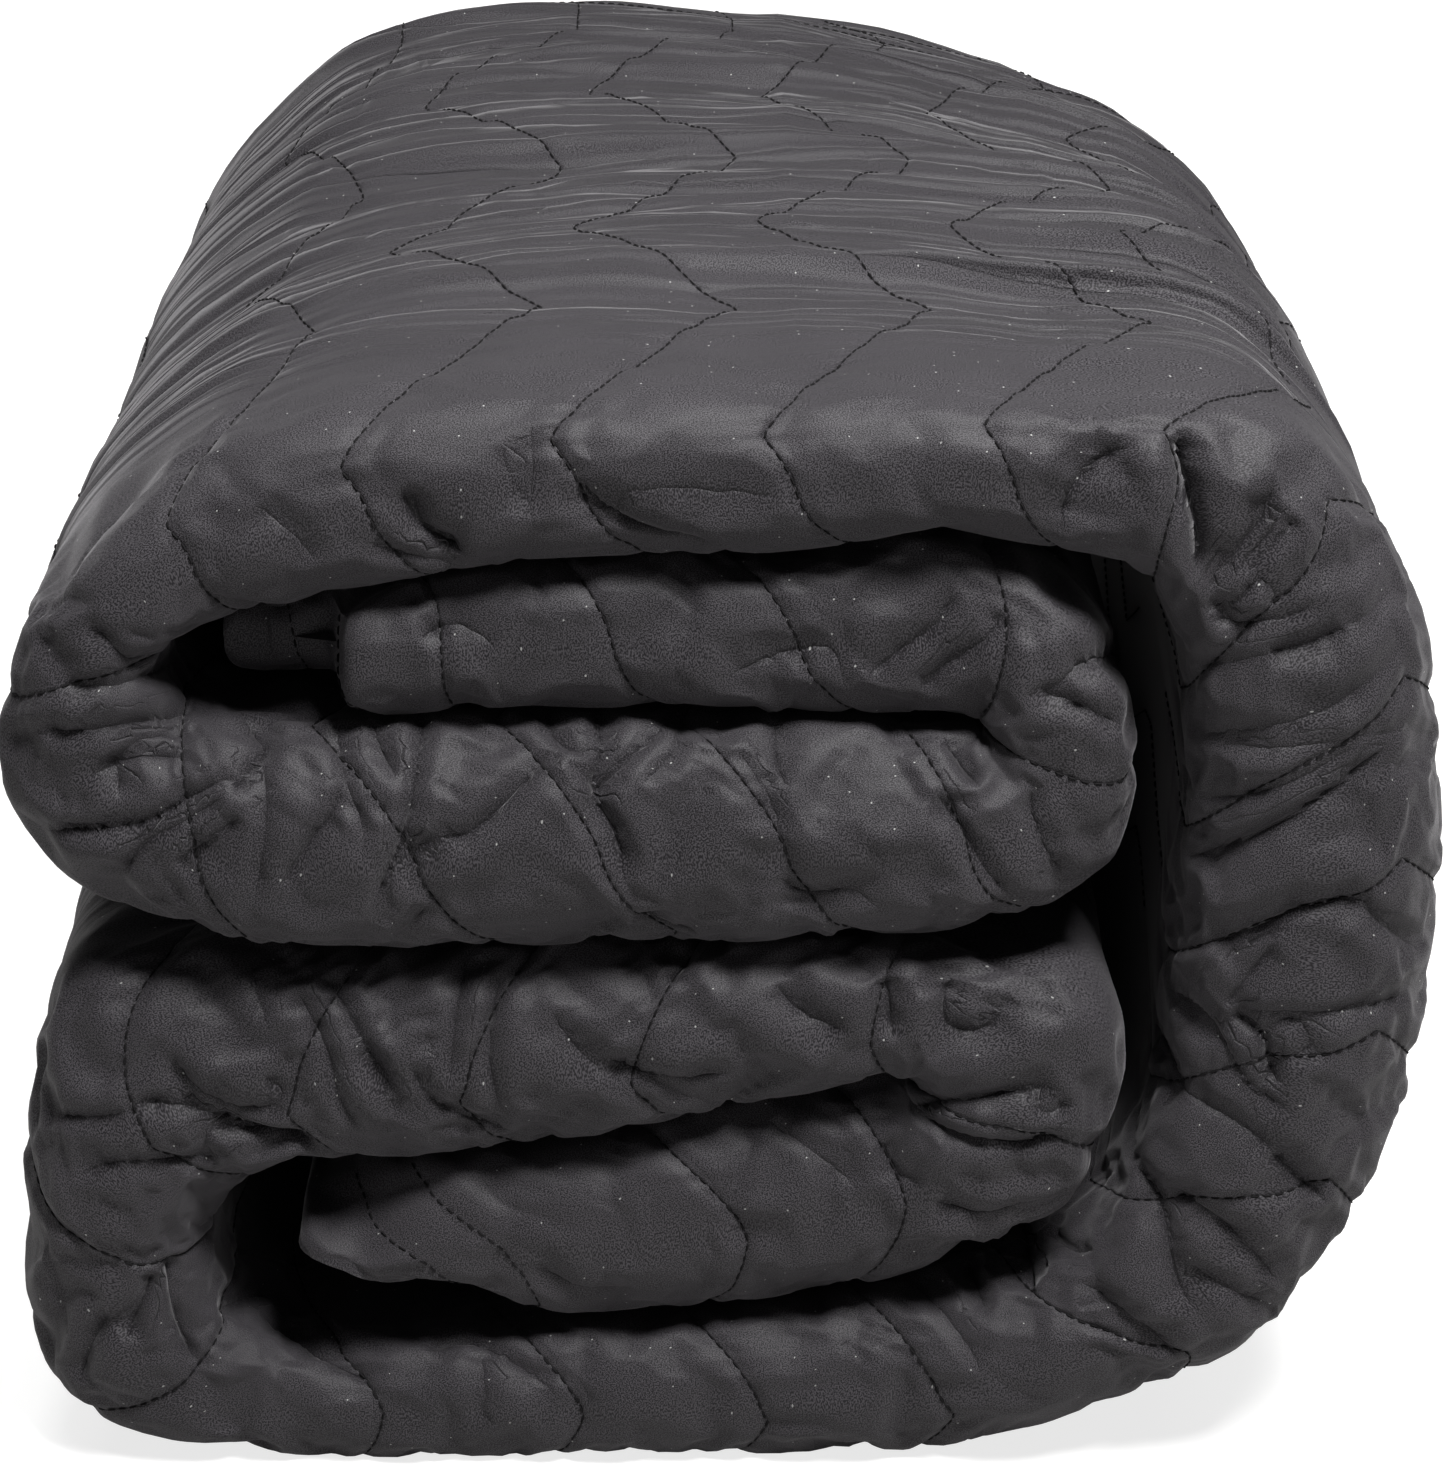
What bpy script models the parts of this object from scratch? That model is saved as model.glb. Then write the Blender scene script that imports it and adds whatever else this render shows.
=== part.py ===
"""A quilted sound dampening blanket, put away: folded in half along its length, rolled inwards
twice from each end and then folded shut, so that six doubled layers lie on one another.

Metres, +Z up, +Y away from the viewer, origin at the middle of the underside.
The whole blanket is one solid. It is lofted from closed rings, three to a quilted channel and
five where it is sharply folded. A ring runs from the rear hem along the outer sheet to the folded
front edge, round it and back along the inner sheet, and then through the slit between the two
sheets.
"""

import math

import bmesh
import bpy
import numpy as np

FRONT_Y = -0.250  # the foremost folded edge
REAR_Y = 0.250  # the hems, behind
REAR_SPREAD = 0.070  # how much wider the bundle is at its rear, as a share
CENTRE_X = 0.002  # moves the bundle so that the origin is under its middle
TOP = 0.326
SLUMP_FROM_X = 0.020  # to the right of this the bundle's rear has sunk,
SLUMP_SLOPE = 0.20  # by this share of the distance, at the top of the rear edge
REAR_RISE = (
    # x, how far the top of the rear edge stands above the plain bundle there
    (-0.160, 0.0040), (-0.115, 0.0100), (-0.053, 0.0125), (0.012, 0.0085), (0.080, 0.0070),
    (0.100, 0.0050), (0.120, 0.0), (0.148, -0.0020),
)
RISE_FROM_Y, RISE_TO_Y = -0.05, 0.22
RISE_FROM_Z, RISE_TO_Z = 0.26, 0.31
LAYER_GAP = 0.0026  # air between two layers that lie on one another
SHEET_GAP = 0.0020  # air between the two sheets of a doubled layer
FLOOR = 0.0  # the underside is pressed flat here
PRESSED = 0.002  # how much of the padding below is pressed away

# Hems: the padding runs out towards each cut edge
HEM_THICKNESS = 0.011
HEM_RUNOUT = 0.040
HEM_ROUNDING = 0.004
HEM_EDGE_SHARE = 0.55  # the rounded edge's thickness, as a share of the hem's
END_STAGGER = 0.030  # the inner sheet reaches this much past the outer one at both ends
STAGGER_RUNOUT = 0.160
STAGGER_BLEND = 0.060  # the stretch of the front edge over which the stagger grows
HEM_WANDER = 0.007  # how far the rear hems stray from one line
HEM_WAVES = 9.5  # radians of their waviness a metre
HEM_OFFSET = 0.004  # the inner sheet's hem stands back from the outer one's
END_LIFT = 0.006  # the first end hangs free in its fold, this far above the layer below
END_LIFT_RUNOUT = 0.050

# Quilting: stitch lines zigzag from hem to hem, side by side along the blanket
ZIGZAG_SWING = 0.049  # from its points on one side to those on the other
ZIGZAG_RUNOUT = 0.060  # the zigzag straightens out within this distance of the blanket's ends
SEAM_DEPTH = 0.0036
STEPS_PER_CHANNEL = 3
STEPS_IN_A_FOLD = 5  # for a channel that turns by more than SHARP_TURN
SHARP_TURN = 0.8
EASY_TURN = 12.0  # radians a metre; a sharper fold straightens the stitch lines on it
TURN_WINDOW = 0.070
SWAY_RUNOUT = 0.080

# Where the stitch lines cross the blanket's length, which is gathered up more in some layers
STITCH_LINES = (
    # along, the number of the stitch line there
    (0.054, 1), (0.212, 4), (0.288, 6), (0.438, 9), (0.560, 11), (0.833, 16), (0.910, 18),
    (1.100, 22), (1.2245, 24), (1.386, 27), (1.550, 30), (1.694, 33), (1.9165, 37),
)
ZIGZAG_POINTS = (
    # w, the line's place there as a share of its swing
    (-0.470, -0.5), (-0.390, 0.5), (-0.310, -0.5), (-0.230, 0.5), (-0.150, -0.5), (-0.070, 0.5),
    (0.012, -0.5), (0.120, 0.5), (0.190, -0.5), (0.275, 0.5), (0.355, -0.5), (0.440, 0.5),
)
ZIGZAG_DRIFT = (
    # along, how far the points lie there from their places above
    (0.00, 0.022), (0.45, 0.022), (0.62, 0.000), (0.85, 0.004), (0.93, 0.015), (1.05, 0.006),
    (1.35, -0.012), (1.62, -0.020), (2.02, -0.006),
)

# The folded front edge is a full bead, a little squarer than round
BEAD_DEPTH_SHARE = 0.86  # its depth from front to rear, as a share of half the thickness
BEAD_SQUARENESS = 0.76  # 1 is round and less is squarer

# Rows of points from the folded front edge towards a rear hem, then rows counted from that hem
FRONT_ROWS = (0.0, 0.014, 0.028, 0.044, 0.070, 0.095, 0.120, 0.155, 0.190, 0.2325, 0.275,
              0.315, 0.355, 0.3975, 0.440)
HEM_ROWS = (HEM_RUNOUT, 0.018, HEM_ROUNDING, 0.0)
SLIT_CORNERS = ((-1, True), (-1, False), (1, False), (1, True))  # (side, at the rear)

# Heights of the lines between the layers, left to right across the bundle
STATION_X = (-0.150, -0.110, -0.045, 0.015, 0.060, 0.090)
LINE_HEIGHTS = {
    "top": (0.303, 0.318, 0.326, 0.326, 0.326, 0.325),
    "1-2": (0.258, 0.268, 0.280, 0.282, 0.288, 0.282),
    "2-3": (0.234, 0.234, 0.236, 0.235, 0.233, 0.235),
    "3-4": (0.170, 0.165, 0.167, 0.169, 0.172, 0.176),
    "4-5": (0.090, 0.096, 0.103, 0.118, 0.128, 0.130),
    "5-6": (0.034, 0.036, 0.041, 0.047, 0.055, 0.063),
    "bottom": (0.000, 0.000, 0.000, 0.000, 0.000, 0.000),
}

# The doubled layers in the order of the cloth, from its first end to its last. heading is 1 where
# the cloth runs to the right, outer and inner name the lines that its two faces lie on, and
# recess is how far the layer's folded edge stands back from the foremost one.
LAYERS = (
    # name, heading, outer, inner, recess
    ("second", 1, "1-2", "2-3", 0.012),
    ("third", -1, "3-4", "2-3", 0.000),
    ("first", 1, "top", "1-2", 0.006),
    ("sixth", -1, "bottom", "5-6", 0.006),
    ("fourth", 1, "3-4", "4-5", 0.004),
    ("fifth", -1, "5-6", "4-5", 0.008),
)

# The folds that join each layer to the next. A fold leaves its layer at from_x and joins the next
# one at to_x. Its ribs lie between them, each with the cloth's outer and inner point (x, z).
FOLDS = (
    # name, from_x, to_x, recess, ribs
    ("inner right, upper", 0.066, 0.066, 0.006, (
        ((0.098, 0.263), (0.0690, 0.2360)),
        ((0.112, 0.224), (0.0705, 0.2340)),
        ((0.102, 0.185), (0.0690, 0.2320)),
    )),
    ("outer left, upper", -0.134, -0.134, 0.004, (
        ((-0.178, 0.188), (-0.1460, 0.2370)),
        ((-0.194, 0.222), (-0.1500, 0.2480)),
        ((-0.181, 0.268), (-0.1460, 0.2590)),
    )),
    ("outer right", 0.085, 0.055, 0.000, (
        ((0.140, 0.322), (0.1070, 0.2810)),
        ((0.176, 0.286), (0.1190, 0.2600)),
        ((0.193, 0.230), (0.1255, 0.2200)),
        ((0.196, 0.160), (0.1250, 0.1700)),
        ((0.184, 0.090), (0.1220, 0.1100)),
        ((0.148, 0.037), (0.1010, 0.0670)),
    )),
    ("outer left, lower", -0.126, -0.126, 0.004, (
        ((-0.192, 0.016), (-0.1430, 0.0440)),
        ((-0.199, 0.078), (-0.1500, 0.0640)),
        ((-0.184, 0.154), (-0.1430, 0.0840)),
    )),
    ("inner right, lower", 0.048, 0.048, 0.002, (
        ((0.106, 0.155), (0.0510, 0.1280)),
        ((0.112, 0.126), (0.0525, 0.1260)),
        ((0.099, 0.084), (0.0510, 0.1240)),
    )),
)
FIRST_END_X = -0.135
LAST_END_X = -0.122

RIB_SPACING = 0.010  # between the ribs of a layer
PATH_STEPS = 12  # fine steps of the path between two ribs
PATH_SPACING = 0.001  # between the points of the finished path
PATH_SOFTNESS = 0.005  # how far a corner of the path is rounded


def curve_through(knots, values, at):
    """A smooth curve through rows of values at rising knots, read at each place in at."""
    slopes = np.gradient(values, knots, axis=0)
    i = np.clip(np.searchsorted(knots, at, side="right") - 1, 0, len(knots) - 2)
    width = (knots[i + 1] - knots[i])[:, None]
    t = (at - knots[i])[:, None] / width
    return (
        (2 * t**3 - 3 * t**2 + 1) * values[i]
        + (t**3 - 2 * t**2 + t) * width * slopes[i]
        + (3 * t**2 - 2 * t**3) * values[i + 1]
        + (t**3 - t**2) * width * slopes[i + 1]
    )


def line_heights(line, x):
    heights = np.array(LINE_HEIGHTS[line])[:, None]
    return curve_through(np.array(STATION_X), heights, x)[:, 0]


def layer_ribs(layer, start, end):
    """The ribs of a layer, with half of the air left on each of its faces."""
    _, _, outer, inner, recess = layer
    count = round(abs(end - start) / RIB_SPACING) + 1
    x = np.linspace(start, end, count)
    high, low = line_heights(outer, x), line_heights(inner, x)
    air = np.sign(high - low) * LAYER_GAP / 2
    outer_z = high - PRESSED if outer == "bottom" else high - air
    hanging = np.clip(1 - (x - FIRST_END_X) / END_LIFT_RUNOUT, 0, 1) * (start == FIRST_END_X)
    inner_z = low + air + END_LIFT * hanging**2
    return np.column_stack([x, outer_z, x, inner_z, np.full(count, recess)])


def all_ribs():
    """Every rib of the cloth's path in order, as rows of outer x, z, inner x, z and recess."""
    ribs = []
    for number, layer in enumerate(LAYERS):
        start = FIRST_END_X if number == 0 else FOLDS[number - 1][2]
        end = LAST_END_X if number == len(FOLDS) else FOLDS[number][1]
        ribs += layer_ribs(layer, start, end).tolist()
        if number < len(FOLDS):
            _, _, _, recess, fold = FOLDS[number]
            ribs += [[*outer, *inner, recess] for outer, inner in fold]
    return np.array(ribs)


def middle_length(ribs):
    middles = (ribs[:, :2] + ribs[:, 2:4]) / 2
    steps = np.linalg.norm(np.diff(middles, axis=0), axis=1)
    return np.concatenate([[0.0], np.cumsum(steps)])


def smooth_path(ribs):
    """A curve through the ribs, read at even steps along its middle and softened there."""
    knots = np.concatenate([[0.0], np.cumsum(np.sqrt(np.diff(middle_length(ribs))))])
    places = np.arange((len(ribs) - 1) * PATH_STEPS + 1) / PATH_STEPS
    rough = curve_through(knots, ribs, np.interp(places, np.arange(len(ribs)), knots))
    length = middle_length(rough)
    even = np.linspace(0, length[-1], round(length[-1] / PATH_SPACING))
    path = np.column_stack([np.interp(even, length, column) for column in rough.T])
    reach = round(3 * PATH_SOFTNESS / PATH_SPACING)
    weights = np.exp(-0.5 * (np.arange(-reach, reach + 1) * PATH_SPACING / PATH_SOFTNESS) ** 2)
    weights /= weights.sum()
    for column in path.T:
        ends = [2 * column[0] - column[reach:0:-1], column, 2 * column[-1] - column[-2:-reach - 2:-1]]
        column[:] = np.convolve(np.concatenate(ends), weights, mode="valid")
    return path


PATH = smooth_path(all_ribs())
PATH_LENGTH = middle_length(PATH)
CLOTH_LENGTH = float(PATH_LENGTH[-1])


def turned(length):
    """How far the path has turned, in radians, at each length along it."""
    across = PATH[:, :2] - PATH[:, 2:4]
    return np.interp(length, PATH_LENGTH, np.unwrap(np.arctan2(across[:, 1], across[:, 0])))


def stitch_sway():
    """How far the zigzag swings at each step of the path, from 0 to 1."""
    half = TURN_WINDOW / 2
    turn = np.abs(turned(PATH_LENGTH + half) - turned(PATH_LENGTH - half)) / TURN_WINDOW
    sway = np.minimum(1.0, EASY_TURN / np.maximum(turn, 1e-6)) ** 2
    window = round(SWAY_RUNOUT / PATH_SPACING / 2)
    padded = np.concatenate([np.full(window, sway[0]), sway, np.full(window, sway[-1])])
    return np.convolve(padded, np.full(2 * window + 1, 1 / (2 * window + 1)), mode="valid")


PATH_SWAY = stitch_sway()


def zigzag(w, along):
    """The sideways place of a stitch line at w, as a share of its swing."""
    places, drifts = zip(*ZIGZAG_DRIFT)
    points, shares = zip(*ZIGZAG_POINTS)
    return float(np.interp(w - np.interp(along, places, drifts), points, shares))


def ease(x):
    x = min(max(x, 0.0), 1.0)
    return x * x * (3 - 2 * x)


def padding(distance_to_edge, full):
    """A sheet's thickness at a distance from its nearest cut edge."""
    hem = min(HEM_THICKNESS, full)
    thick = hem + (full - hem) * ease((distance_to_edge - HEM_ROUNDING) / HEM_RUNOUT)
    if distance_to_edge < HEM_ROUNDING:
        thick *= HEM_EDGE_SHARE + (1 - HEM_EDGE_SHARE) * distance_to_edge / HEM_ROUNDING
    return thick


class Section:
    """The doubled layer where the path has a given length behind it, and the rear hem of its
    outer sheet (side 1) or inner sheet (side -1)."""

    def __init__(self, along, side=0.0):
        row = [np.interp(along, PATH_LENGTH, PATH[:, i]) for i in range(5)]
        self.middle = np.array([row[0] + row[2], row[1] + row[3]]) / 2
        across = np.array([row[0] - row[2], row[1] - row[3]])
        self.thickness = float(np.linalg.norm(across))
        self.across = across / self.thickness
        self.front = FRONT_Y + float(row[4])
        self.bead = self.thickness / 2 * BEAD_DEPTH_SHARE
        self.bead_arc = self.thickness / 4 * math.pi
        stray = HEM_WANDER * (0.5 + 0.5 * math.sin(HEM_WAVES * along))
        self.rear = REAR_Y - stray - HEM_OFFSET * (side < 0)
        self.half_width = self.bead_arc + self.rear - self.front - self.bead

    def point(self, offset, y):
        """A point at an offset from the middle of the layer, towards the outer face."""
        x, z = self.middle + self.across * offset
        rearward = (y - FRONT_Y) / (REAR_Y - FRONT_Y)
        sunk = SLUMP_SLOPE * max(x - SLUMP_FROM_X, 0.0) * rearward * z / TOP
        risen = float(np.interp(x, *zip(*REAR_RISE)))
        risen *= ease((y - RISE_FROM_Y) / (RISE_TO_Y - RISE_FROM_Y))
        risen *= ease((z - RISE_FROM_Z) / (RISE_TO_Z - RISE_FROM_Z))
        return CENTRE_X + x * (1 + REAR_SPREAD * rearward), y, max(z - sunk + risen, FLOOR)


def place_along(share, side, w, to_hem):
    """The length of path behind a ring's point, with the staggered ends and the zigzag, and the
    distance to the sheet's nearest end. side is 1 on the outer sheet and 0 on the inner one."""
    along = CLOTH_LENGTH * share
    at_start = side * END_STAGGER * (1 - ease(along / STAGGER_RUNOUT))
    at_end = side * END_STAGGER * (1 - ease((CLOTH_LENGTH - along) / STAGGER_RUNOUT))
    near_end = min(along, CLOTH_LENGTH - along)
    along += at_start - at_end
    sway = float(np.interp(along, PATH_LENGTH, PATH_SWAY))
    sway *= ease(near_end / ZIGZAG_RUNOUT) * ease(to_hem / HEM_RUNOUT)
    return along + ZIGZAG_SWING * zigzag(w, along) * sway, near_end


def face_point(share, seam, w, to_hem=None):
    """A point on the outside of the cloth. w is above 0 on the outer sheet and below it on the
    inner one, and to_hem, where it is given, is the distance left to the rear hem instead."""
    side = math.copysign(1.0, w)
    free = HEM_RUNOUT if to_hem is None else to_hem
    along, near_end = place_along(share, ease(0.5 + w / STAGGER_BLEND), w, free)
    section = Section(along, side)
    reach = abs(w) if to_hem is None else section.half_width - to_hem
    left = min(section.half_width - reach, near_end)
    depth = SEAM_DEPTH * seam * ease(left / HEM_RUNOUT)
    half = padding(left, section.thickness / 2 - SHEET_GAP / 2) + SHEET_GAP / 2 - depth
    if reach >= section.bead_arc:
        y = section.front + section.bead + reach - section.bead_arc
        return section.point(side * half, y)
    turn = reach / section.bead_arc * math.pi / 2
    deep = max(math.cos(turn), 0.0) ** BEAD_SQUARENESS
    y = section.front + section.bead - (section.bead - depth) * deep
    return section.point(side * half * math.sin(turn) ** BEAD_SQUARENESS, y)


def slit_point(share, side, at_rear):
    """A point on the inside of the outer sheet (side 1) or the inner sheet (side -1)."""
    along, _ = place_along(share, max(side, 0), 0.0, 0.0)
    section = Section(along, side)
    y = section.rear if at_rear else section.front + section.bead
    return section.point(side * SHEET_GAP / 2, y)


def ring(bm, share, seam):
    """One closed ring: the outer sheet from its hem to the front edge, the inner sheet back to
    its hem, and the two walls of the slit."""
    last = FRONT_ROWS[-1]
    points = [face_point(share, seam, last, left) for left in reversed(HEM_ROWS)]
    points += [face_point(share, seam, w) for w in reversed(FRONT_ROWS)]
    points += [face_point(share, seam, -w) for w in FRONT_ROWS[1:]]
    points += [face_point(share, seam, -last, left) for left in HEM_ROWS]
    points += [slit_point(share, side, rear) for side, rear in SLIT_CORNERS]
    return [bm.verts.new(p) for p in points]


def close_end(bm, ring_verts, facing):
    """Closes the blanket's end with triangles that fan out from the slit's two front corners."""
    nose = len(HEM_ROWS) + len(FRONT_ROWS) - 1
    face = ring_verts[: 2 * nose + 1]
    inner_rear, inner_front, outer_front, outer_rear = ring_verts[2 * nose + 1:]
    triangles = [(outer_front, outer_rear, face[0]), (outer_front, face[nose], inner_front)]
    triangles += [(outer_front, a, b) for a, b in zip(face[:nose], face[1:nose + 1])]
    triangles += [(inner_front, a, b) for a, b in zip(face[nose:], face[nose + 1:])]
    triangles.append((inner_front, face[-1], inner_rear))
    for triangle in triangles:
        bm.faces.new(triangle[::facing])


def ring_shares():
    """Each ring's place as a share of the cloth's length, and 1 where a stitch line runs."""
    places, numbers = zip(*STITCH_LINES)
    lines = np.interp(range(numbers[0], numbers[-1] + 1), numbers, places)
    bounds = [0.0, *lines, CLOTH_LENGTH]
    shares = []
    for start, end in zip(bounds, bounds[1:]):
        steps = STEPS_IN_A_FOLD if abs(turned(end) - turned(start)) > SHARP_TURN else STEPS_PER_CHANNEL
        shares.append((start / CLOTH_LENGTH, 1.0))
        shares += [((start + (end - start) * i / steps) / CLOTH_LENGTH, 0.0) for i in range(1, steps)]
    return [*shares, (1.0, 1.0)]


def blanket_mesh():
    bm = bmesh.new()
    rings = [ring(bm, share, seam) for share, seam in ring_shares()]
    size = len(rings[0])
    for a, b in zip(rings, rings[1:]):
        for i in range(size):
            j = (i + 1) % size
            bm.faces.new((a[i], a[j], b[j], b[i]))
    close_end(bm, rings[0], -1)
    close_end(bm, rings[-1], 1)
    bmesh.ops.triangulate(bm, faces=bm.faces[:], quad_method="SHORT_EDGE")
    bmesh.ops.recalc_face_normals(bm, faces=bm.faces[:])
    mesh = bpy.data.meshes.new("blanket")
    bm.to_mesh(mesh)
    bm.free()
    return mesh


def charcoal_cloth():
    material = bpy.data.materials.new("charcoal microfibre")
    material.use_nodes = True
    shader = material.node_tree.nodes["Principled BSDF"]
    shader.inputs["Base Color"].default_value = (0.020, 0.019, 0.020, 1.0)
    shader.inputs["Roughness"].default_value = 0.75
    shader.inputs["Metallic"].default_value = 0.0
    return material


def main():
    for item in list(bpy.data.objects):
        bpy.data.objects.remove(item, do_unlink=True)
    collection = bpy.data.collections.new("sound dampening blanket")
    bpy.context.scene.collection.children.link(collection)
    blanket = bpy.data.objects.new("blanket", blanket_mesh())
    blanket.data.materials.append(charcoal_cloth())
    collection.objects.link(blanket)
    blanket.data.shade_smooth()
    blanket.data.set_sharp_from_angle(angle=math.radians(50))


main()
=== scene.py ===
# A folded, quilted sound dampening blanket of dark charcoal microfibre, dressed over its solid.

import functools
import math

import bpy
import numpy as np
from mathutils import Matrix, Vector
from mathutils.bvhtree import BVHTree


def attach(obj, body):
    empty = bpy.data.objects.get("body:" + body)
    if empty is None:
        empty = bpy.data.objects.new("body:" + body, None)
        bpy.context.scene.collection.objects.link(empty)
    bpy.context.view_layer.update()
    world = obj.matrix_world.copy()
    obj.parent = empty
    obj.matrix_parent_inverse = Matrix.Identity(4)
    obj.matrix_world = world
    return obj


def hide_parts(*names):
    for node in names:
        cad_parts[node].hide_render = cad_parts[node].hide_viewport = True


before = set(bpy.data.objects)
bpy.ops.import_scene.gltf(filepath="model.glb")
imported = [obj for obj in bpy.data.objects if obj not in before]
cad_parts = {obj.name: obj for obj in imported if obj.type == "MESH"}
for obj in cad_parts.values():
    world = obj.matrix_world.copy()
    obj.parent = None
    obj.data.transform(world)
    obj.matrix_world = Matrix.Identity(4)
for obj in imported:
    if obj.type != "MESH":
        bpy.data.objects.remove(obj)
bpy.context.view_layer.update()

# The bundle's own sizes, in metres, as the solid has them

FRONT_Y = -0.250
REAR_Y = 0.250
REAR_SPREAD = 0.070  # how much wider the bundle is at its rear than in front
CENTRE_X = 0.002
TOP = 0.326
SLUMP_FROM_X = 0.020  # the top sags to the right of here, more so to the rear
SLUMP_SLOPE = 0.20
REAR_RISE = (
    # x, how far the top of the rear edge stands above the plain bundle there
    (-0.160, 0.0040), (-0.115, 0.0100), (-0.053, 0.0125), (0.012, 0.0085), (0.080, 0.0070),
    (0.100, 0.0050), (0.120, 0.0), (0.148, -0.0020),
)
RISE_FROM_Y, RISE_TO_Y = -0.05, 0.22
RISE_FROM_Z, RISE_TO_Z = 0.26, 0.31
LAYER_GAP = 0.0026
SHEET_GAP = 0.0020
PRESSED = 0.002  # how far the bottom layer's path is set under the floor, which flattens it

HEM_THICKNESS = 0.011
HEM_RUNOUT = 0.040
HEM_ROUNDING = 0.004
HEM_EDGE_SHARE = 0.55
HEM_WANDER = 0.007
HEM_WAVES = 9.5
HEM_OFFSET = 0.004
END_STAGGER = 0.030
STAGGER_RUNOUT = 0.160
STAGGER_BLEND = 0.060
END_LIFT = 0.006
END_LIFT_RUNOUT = 0.050
END_SET_BACK = 0.024  # the first end's front edge stands this far behind its layer's
SET_BACK_TO, SET_BACK_BLEND = 0.036, 0.008
END_FLAP = 0.045  # and that edge goes with the longer sheet, so far round it
FLAP_TO, FLAP_BLEND = 0.05, 0.03

ZIGZAG_SWING = 0.049
ZIGZAG_RUNOUT = 0.060
EASY_TURN = 12.0  # radians a metre, above which a fold leaves the zigzag less room
TURN_WINDOW = 0.070
SWAY_RUNOUT = 0.080
STITCH_LINES = (
    # along, the number of the stitch line there
    (0.054, 1), (0.212, 4), (0.288, 6), (0.438, 9), (0.560, 11), (0.833, 16), (0.910, 18),
    (1.100, 22), (1.2245, 24), (1.386, 27), (1.550, 30), (1.694, 33), (1.9165, 37),
)
ZIGZAG_POINTS = (
    # w, the line's place there as a share of its swing
    (-0.470, -0.5), (-0.390, 0.5), (-0.310, -0.5), (-0.230, 0.5), (-0.150, -0.5), (-0.070, 0.5),
    (0.012, -0.5), (0.120, 0.5), (0.190, -0.5), (0.275, 0.5), (0.355, -0.5), (0.440, 0.5),
)
ZIGZAG_DRIFT = (
    # along, how far the points lie there from their places above
    (0.00, 0.022), (0.45, 0.022), (0.62, 0.000), (0.85, 0.004), (0.93, 0.015), (1.05, 0.006),
    (1.35, -0.012), (1.62, -0.020), (2.02, -0.006),
)

BEAD_DEPTH_SHARE = 0.86
BEAD_SQUARENESS = 0.76

STATION_X = (-0.150, -0.110, -0.045, 0.015, 0.060, 0.090)
LINE_HEIGHTS = {
    "top": (0.303, 0.318, 0.326, 0.326, 0.326, 0.325),
    "1-2": (0.258, 0.268, 0.280, 0.282, 0.288, 0.282),
    "2-3": (0.234, 0.234, 0.236, 0.235, 0.233, 0.235),
    "3-4": (0.170, 0.165, 0.167, 0.169, 0.172, 0.176),
    "4-5": (0.090, 0.096, 0.103, 0.118, 0.128, 0.130),
    "5-6": (0.034, 0.036, 0.041, 0.047, 0.055, 0.063),
    "bottom": (0.000, 0.000, 0.000, 0.000, 0.000, 0.000),
}
LAYERS = (
    # name, outer, inner, recess
    ("second", "1-2", "2-3", 0.012),
    ("third", "3-4", "2-3", 0.000),
    ("first", "top", "1-2", 0.006),
    ("sixth", "bottom", "5-6", 0.006),
    ("fourth", "3-4", "4-5", 0.004),
    ("fifth", "5-6", "4-5", 0.008),
)
FOLDS = (
    # name, from_x, to_x, recess, ribs
    ("inner right, upper", 0.066, 0.066, 0.006, (
        ((0.098, 0.263), (0.0690, 0.2360)),
        ((0.112, 0.224), (0.0705, 0.2340)),
        ((0.102, 0.185), (0.0690, 0.2320)),
    )),
    ("outer left, upper", -0.134, -0.134, 0.004, (
        ((-0.178, 0.188), (-0.1460, 0.2370)),
        ((-0.194, 0.222), (-0.1500, 0.2480)),
        ((-0.181, 0.268), (-0.1460, 0.2590)),
    )),
    ("outer right", 0.085, 0.055, 0.000, (
        ((0.140, 0.322), (0.1070, 0.2810)),
        ((0.176, 0.286), (0.1190, 0.2600)),
        ((0.193, 0.230), (0.1255, 0.2200)),
        ((0.196, 0.160), (0.1250, 0.1700)),
        ((0.184, 0.090), (0.1220, 0.1100)),
        ((0.148, 0.037), (0.1010, 0.0670)),
    )),
    ("outer left, lower", -0.126, -0.126, 0.004, (
        ((-0.192, 0.016), (-0.1430, 0.0440)),
        ((-0.199, 0.078), (-0.1500, 0.0640)),
        ((-0.184, 0.154), (-0.1430, 0.0840)),
    )),
    ("inner right, lower", 0.048, 0.048, 0.002, (
        ((0.106, 0.155), (0.0510, 0.1280)),
        ((0.112, 0.126), (0.0525, 0.1260)),
        ((0.099, 0.084), (0.0510, 0.1240)),
    )),
)
FIRST_END_X = -0.135
LAST_END_X = -0.122

RIB_SPACING = 0.010
PATH_STEPS = 12
PATH_SPACING = 0.001
PATH_SOFTNESS = 0.005


# Where the photo's creases lie, in its pixels: name, width and depth in mm, lean, then points.
# Lean is how much higher the cloth stands on the left of the way through the points, -1 to 1.

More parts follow.
